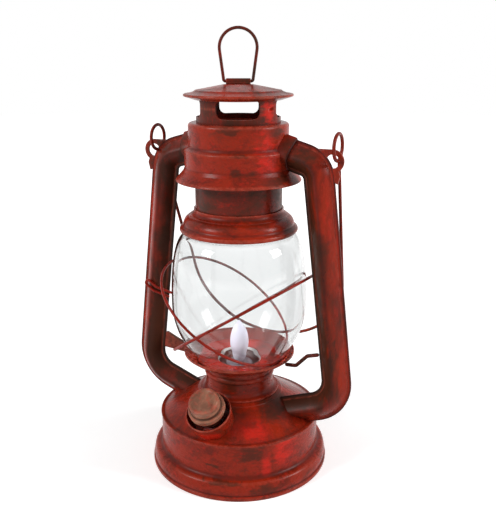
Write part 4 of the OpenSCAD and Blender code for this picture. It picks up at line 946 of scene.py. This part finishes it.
class LANTERN_OT_side_tubes(Build, bpy.types.Operator):
    """Two pressed halves for each side tube, with the ears for the bail on their seams"""

    bl_idname = "lantern.side_tubes"
    bl_label = "Side tubes"

    def execute(self, context):
        for side, label in ((-1, "left"), (1, "right")):
            paint = worn_paint(
                label + "_tube_paint", rub=0.56, scale=64.0, stretch=(1, 1, 0.4), start=(0.4 * side, 0.2, 0.1),
                wear=0.5, browns=[((side * 36, -4, 38), (9, 12, 8), 0.6), ((side * 36, -5, 174), (9, 10, 7), 0.5)])
            for face, half in ((-1, "front"), (1, "back")):
                grids = [moved(g, g.points * [side, face, 1.0]) for g in (self.half_tube(), self.ear())]
                name = f"{label}_tube_{half}"
                make_piece(name + "_skin", [name], grids, paint)
        return {"FINISHED"}

    def section(self):
        """Flange, lens-shaped body and flange outside, and the same lens drawn in by the sheet inside."""
        a, b, t = size("tube_half_width"), size("tube_half_depth"), 0.6
        edge = a + size("seam_width")
        inside = lens(a - 1.5 * t, b - 1.2 * t, 0)
        return np.concatenate([[(-edge, 0), (-edge, 0.35), (-edge + 0.2, t)], lens(a, b, t + 0.05),
                               [(edge - 0.2, t), (edge, 0.35), (edge, 0)], inside[::-1]])

    def half_tube(self):
        """The section carried along the tube's middle line: point + u across the line + v out of its plane. The last
        run is cut off where it meets the tank's cone, found for all points of the section at once by halving."""
        section, corner, land, far = self.section(), tube_corner(), math.radians(-160), 40.0
        way = np.array([math.cos(land), math.sin(land)])
        elbow = np.array([corner[0] + (corner[1] - TUBE_ELBOW) * math.tan(TUBE_SPLAY), TUBE_ELBOW])
        end = (TUBE_END, low_of("hood") + TUBE_RISE)
        path = spaced(rounded([end, corner, elbow, elbow + far * way], [13.8, 17], 24)[:-1], 3.0)
        along = unit(np.gradient(path, axis=0))
        along[0] = math.cos(TUBE_FALL), -math.sin(TUBE_FALL)
        along[-1] = way
        across = np.stack([-along[:, 1], along[:, 0]], 1)
        flat = path[:, None] + across[:, None] * section[None, :, :1]
        start = flat[-1]
        near, beyond = np.zeros(len(section)), np.full(len(section), far)
        for _ in range(40):
            half = (near + beyond) / 2
            x, z = (start + half[:, None] * way).T
            above = z > self.tank_under(np.hypot(x, section[:, 1]))
            near, beyond = np.where(above, half, near), np.where(above, beyond, half)
        run = np.linspace(0, 1, 12)[1:, None, None] * near[None, :, None] * way + start
        flat = np.concatenate([flat, run])
        depth = np.broadcast_to(section[:, 1], flat.shape[:2])
        # Darker brown towards each tube's inner side and redder towards its outer side: these values raise the paint's
        # rub level by up to 0.6 at the inner edge and lower it by up to 0.35 at the outer edge.
        inward = np.clip(-section[:, 0] / size("tube_half_width"), -1, 1)
        rub = np.where(inward > 0, 0.6 * inward, 0.35 * inward)
        points = np.stack([flat[..., 0], depth, flat[..., 1]], -1)
        return Grid(points, False, True, turn_of(section, True, 0.8), True, rub)

    def tank_under(self, r):
        """Height at which a tube rests on the tank: its flat edge, then the cone."""
        edge = size("tank_radius") - 2 * size("sheet")
        return size("tank_height") + 0.1 + np.maximum(edge - r, 0) * math.tan(TOP_SLOPE)

    def ear(self):
        """A flat ring between the hole and the ear's outline: at each angle the outline is the further of a circle
        and the straight sides that run into the tube's seam."""
        a = np.linspace(0, 2 * math.pi, 96, endpoint=False)
        hole, rim = 3.4, 5.8
        centre = tube_corner() + [EAR_OUT, EAR_UP]
        sides = np.array([(-EAR_OUT, -EAR_UP), (2.9, -11.6), (rim, 0), (0, rim), (-EAR_OUT, rim)])
        ahead = np.roll(sides, -1, 0) - sides
        c, s = np.cos(a)[:, None], np.sin(a)[:, None]
        cross = c * ahead[:, 1] - s * ahead[:, 0]
        reach = (sides[:, 0] * ahead[:, 1] - sides[:, 1] * ahead[:, 0]) / np.where(np.abs(cross) < 1e-9, 1e-9, cross)
        reach = np.where(reach > 0, reach, 1e9).min(1)
        joined = (reach > rim) & (a > math.radians(95)) & (a < math.radians(300))
        out = np.maximum(np.where(joined, reach, 0), rim)[:, None]
        r = hole + (out - hole) * np.r_[0, 0.06, 0.5, 0.95, 1, 1, 0.95, 0.5, 0.06, 0]
        v = np.broadcast_to(np.r_[0.45, 0.6, 0.6, 0.6, 0.45, 0, 0, 0, 0, 0], r.shape)
        points = np.stack([centre[0] + c * r, v, centre[1] + s * r], -1)
        return Grid(points, True, True, np.r_[0.5, 0.4, 0, 0.4, 0.6, 0.5, 0.3, 0, 0.3, 0.5])


class LANTERN_OT_bail(Build, bpy.types.Operator):
    """Wire bail: two rings through the ears, two arms and a round bottom"""

    bl_idname = "lantern.bail"
    bl_label = "Bail"

    def execute(self, context):
        d, lean, eye, shift = size("bail_wire"), math.radians(19.6), 6.6, 2.407
        ear, hinge = TUBE_CORNER + EAR_OUT, tube_corner()[1] + EAR_UP + 0.4 + eye
        knot, bend, r = np.array([ear, -eye]), np.array([0, -80.9]), 47.6
        away = knot - bend
        turn = math.degrees(math.atan2(away[1], away[0]) - math.acos(r / np.linalg.norm(away)))
        path = np.concatenate([[knot], bend + arc((0, 0), r, turn, -180 - turn, 90), [knot * [-1, 1]]])
        arms = wire(np.insert(path, 1, 0, 1), d * 0.99, (0, 1, 0))
        ring = arc((0, 0), eye, 0, 360, 49)[:-1]
        eyes = [wire(np.insert(ring, 0, x, 1), d, (1, 0, 0), True) for x in (-ear, ear)]
        grids = [moved(g, turned(g.points, 0, lean) + [shift, 0, hinge]) for g in [arms] + eyes]
        paint = worn_paint("bail_paint", rub=0.48, start=(0.2, 0.9, 0.5), wear=0.4)
        make_piece("bail_skin", ["bail"], grids, paint, "bail")
        return {"FINISHED"}


class LANTERN_OT_guard_wires(Build, bpy.types.Operator):
    """Two crossed guard hoops and the hairpin clip on the left tube"""

    bl_idname = "lantern.guard_wires"
    bl_label = "Guard wires"

    def execute(self, context):
        d = size("guard_wire")
        paint = worn_paint("guard_paint", "bright", rub=0.52, start=(0.6, 0.6, 0.2), wear=0.3)
        for name, r, slope, side, roll in (("inner_hoop", 41.2, 35, -1, 0), ("outer_hoop", 44.3, 34, 1, -4.5)):
            hoop = self.hoop(r, math.radians(slope), side, math.radians(roll), d)
            make_piece(name + "_skin", [name], [hoop], paint)
        low, mid, high = np.array([(-43.5, -1.95, 91.4), (-50, -7.15, 95.6), (-54.9, -8, 99.8)])
        up = np.array([0.6, 0, 0.8]) * 1.6
        path = rounded([low - up, mid - up, high - up, high + up, mid + up, low + up], [1.35] * 4)
        make_piece("clip_skin", ["left_clip"], [wire(path, d, (0, 1, 0.3))], paint)
        return {"FINISHED"}

    def hoop(self, r, slope, side, roll, d):
        """A ring of wire in the XY plane, rolled about X, tilted about Y and moved so that its high end is at 41 mm."""
        a = np.linspace(0, 2 * math.pi, 160, endpoint=False)
        ring = wire(np.stack([r * np.cos(a), r * np.sin(a), 0 * a], 1), d, (0, 0, 1), True)
        points = turned(turned(ring.points, 0, roll), 1, -side * slope)
        return moved(ring, points + [side * (41 - r * math.cos(slope)), 0, size("rim_height") + 22.6])


class LANTERN_OT_tray_supports(Build, bpy.types.Operator):
    """Sheet bracket on the left of the tray and the bent wire on its right"""

    bl_idname = "lantern.tray_supports"
    bl_label = "Tray supports"

    def leg_edge(self, z):
        """Inner edge of a tube's flange at height z."""
        x, top = tube_corner()
        half = size("tube_half_width") + size("seam_width")
        return x + (top - z) * math.tan(TUBE_SPLAY) - half / math.cos(TUBE_SPLAY)

    def execute(self, context):
        rim, out, d, gap = size("rim_height"), size("tray_radius"), size("brace_wire"), 0.2
        high, low, foot, top = rim - 3.4, rim - 7, 57.7, rim + 1.8
        start = (tray_out(low) + gap, low)
        loop = rounded(
            [start, (out + 4.5, low - 1.8), (self.leg_edge(foot) - gap, foot), (self.leg_edge(top) - gap, top),
             (out + 9, high + 1.8), (out + 4.5, high), (tray_out(high) + gap, high), start],
            [2.5, 0.4, 0.4, 3, 3, 0.4])[:-1]
        y = np.array([-1.2, -1.05, -0.7, 0.7, 1.05, 1.2])[:, None]
        x, z = drawn_in(loop, [0.95, 0.985, 1, 1, 0.985, 0.95], loop.mean(0))
        points = np.stack([-x, np.broadcast_to(y, x.shape), z], -1)
        bracket = Grid(points, False, True, np.where(np.abs(y) > 0.9, 0.5, 0), True)
        paint = worn_paint("support_paint", "deep", rub=0.66, start=(0.8, 0.1, 0.7))
        make_piece("bracket_skin", ["tray_bracket"], [bracket], paint)
        low, high = rim - 4.6, rim + 4.4
        path = rounded([(tray_out(low + d / 2) + d / 2 + 0.1, 0, low), (out + 3.4, 0, low + 0.4),
                        (out + 9.8, 0, high - 1.7), (self.leg_edge(high) - d / 2 - gap, 0, high)], [2.85, 2.85])
        make_piece("brace_skin", ["tray_brace"], [wire(path, d, (0, 1, 0))], paint)
        return {"FINISHED"}


class LANTERN_OT_knob(Build, bpy.types.Operator):
    """Cup on the tank's slope and the stepped knob in it"""

    bl_idname = "lantern.knob"
    bl_label = "Knob"

    def execute(self, context):
        cup = rounded(
            [(4.3, -2.0), (11.1, -2.0), (11.3, 0), (12.3, 10), (11.6, 10.05), (10.6, 0.9), (4.3, 0.9), (4.3, -2.0)],
            [0, 2, 0.3, 0.3, 0.6, 0])
        paint = worn_paint("cup_paint", rub=0.34, scale=80.0, start=(0.4, 0.4, 0.4), wear=0.7,
                           brights=[((4, -44, 32), (7, 6, 5), 0.5)])
        make_piece("knob_cup_skin", ["knob_cup"], [on_knob_axis(revolve(spaced(cup, 1.0)[:-1], True, 96))], paint)
        r, wide = size("knob_radius"), 9.8
        chain = rounded(
            [(0, 4.6), (6.6, 4.6), (6.6, 11.2), (wide, 11.2), (wide, 12.6), (9.45, 12.8), (9.45, 13.0), (wide, 13.2),
             (wide, 14.4), (r + 0.35, 14.5), (r + 0.35, 16.9), (r + 0.1, 17.1), (r + 0.3, 17.4), (r + 0.2, 20),
             (r - 1.3, 19.95), (r - 1.7, 19.8), (0, 19.85)],
            [0.3, 0.3, 0.6, 0.3, 0.1, 0.1, 0.3, 0.7, 0.3, 0.3, 0.1, 0.2, 0.7, 0.3, 0.3])
        paint = worn_paint("knob_paint", "knob", "knob_deep", 0.3, 110.0, start=(0.1, 0.5, 0.9), wear=0.5)
        make_piece("knob_skin", ["knob"], [on_knob_axis(revolve(spaced(chain, 1.0), False, 96))], paint,
                   "knob")
        return {"FINISHED"}


class LANTERN_OT_inner_parts(Build, bpy.types.Operator):
    """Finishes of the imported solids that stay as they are: base, battery box, cells, board, switch and leads"""

    bl_idname = "lantern.inner_parts"
    bl_label = "Inner parts"

    def execute(self, context):
        finishes = (
            ("black_plastic", "plastic", 0.5, 0.0,
             ("base_plate", "battery_box", "battery_cover", "switch_body", "battery_leads")),
            ("bare_steel", "steel", 0.32, 1.0,
             ("contact_springs", "contact_plates", "box_screws", "board_screws", "switch_nut", "switch_shaft")),
            ("cell_sleeve", "label", 0.35, 0.0, ("cell_1", "cell_2", "cell_3")),
            ("board_lacquer", "board", 0.4, 0.0, ("circuit_board",)),
            ("lead_sleeve", "sleeve", 0.5, 0.0, ("lamp_leads", "switch_leads")),
            ("pale_plastic", "cup", 0.4, 0.0, ("led",)),
        )
        for name, base, roughness, metal, nodes in finishes:
            finish = moulded(name, base, roughness, metal)
            for node in nodes:
                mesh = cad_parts[node].data
                mesh.materials.clear()
                mesh.materials.append(finish)
        return {"FINISHED"}


OPERATORS = (
    LANTERN_OT_stage, LANTERN_OT_tank, LANTERN_OT_neck_and_tray, LANTERN_OT_lamp, LANTERN_OT_globe,
    LANTERN_OT_bell_and_chimney, LANTERN_OT_hood, LANTERN_OT_vent_and_cap, LANTERN_OT_finger_loop,
    LANTERN_OT_side_tubes, LANTERN_OT_bail, LANTERN_OT_guard_wires, LANTERN_OT_tray_supports, LANTERN_OT_knob,
    LANTERN_OT_inner_parts,
)


class LANTERN_PT_panel(bpy.types.Panel):
    """Lists the lantern's steps, sizes and colours"""

    bl_idname = "LANTERN_PT_panel"
    bl_label = "Lantern"
    bl_space_type = "VIEW_3D"
    bl_region_type = "UI"
    bl_category = "Lantern"

    def draw(self, context):
        for operator in OPERATORS:
            self.layout.operator(operator.bl_idname)
        for group in (context.scene.lantern_sizes, context.scene.lantern_colours):
            box = self.layout.box()
            for name in group.__annotations__:
                box.prop(group, name)


CLASSES = (LanternSizes, LanternColours, *OPERATORS, LANTERN_PT_panel)


def register():
    for item in CLASSES:
        bpy.utils.register_class(item)
    bpy.types.Scene.lantern_sizes = PointerProperty(type=LanternSizes)
    bpy.types.Scene.lantern_colours = PointerProperty(type=LanternColours)


def unregister():
    del bpy.types.Scene.lantern_sizes, bpy.types.Scene.lantern_colours
    for item in reversed(CLASSES):
        bpy.utils.unregister_class(item)


def main():
    register()
    for operator in OPERATORS:
        group, name = operator.bl_idname.split(".")
        getattr(getattr(bpy.ops, group), name)()


if __name__ == "__main__":
    main()
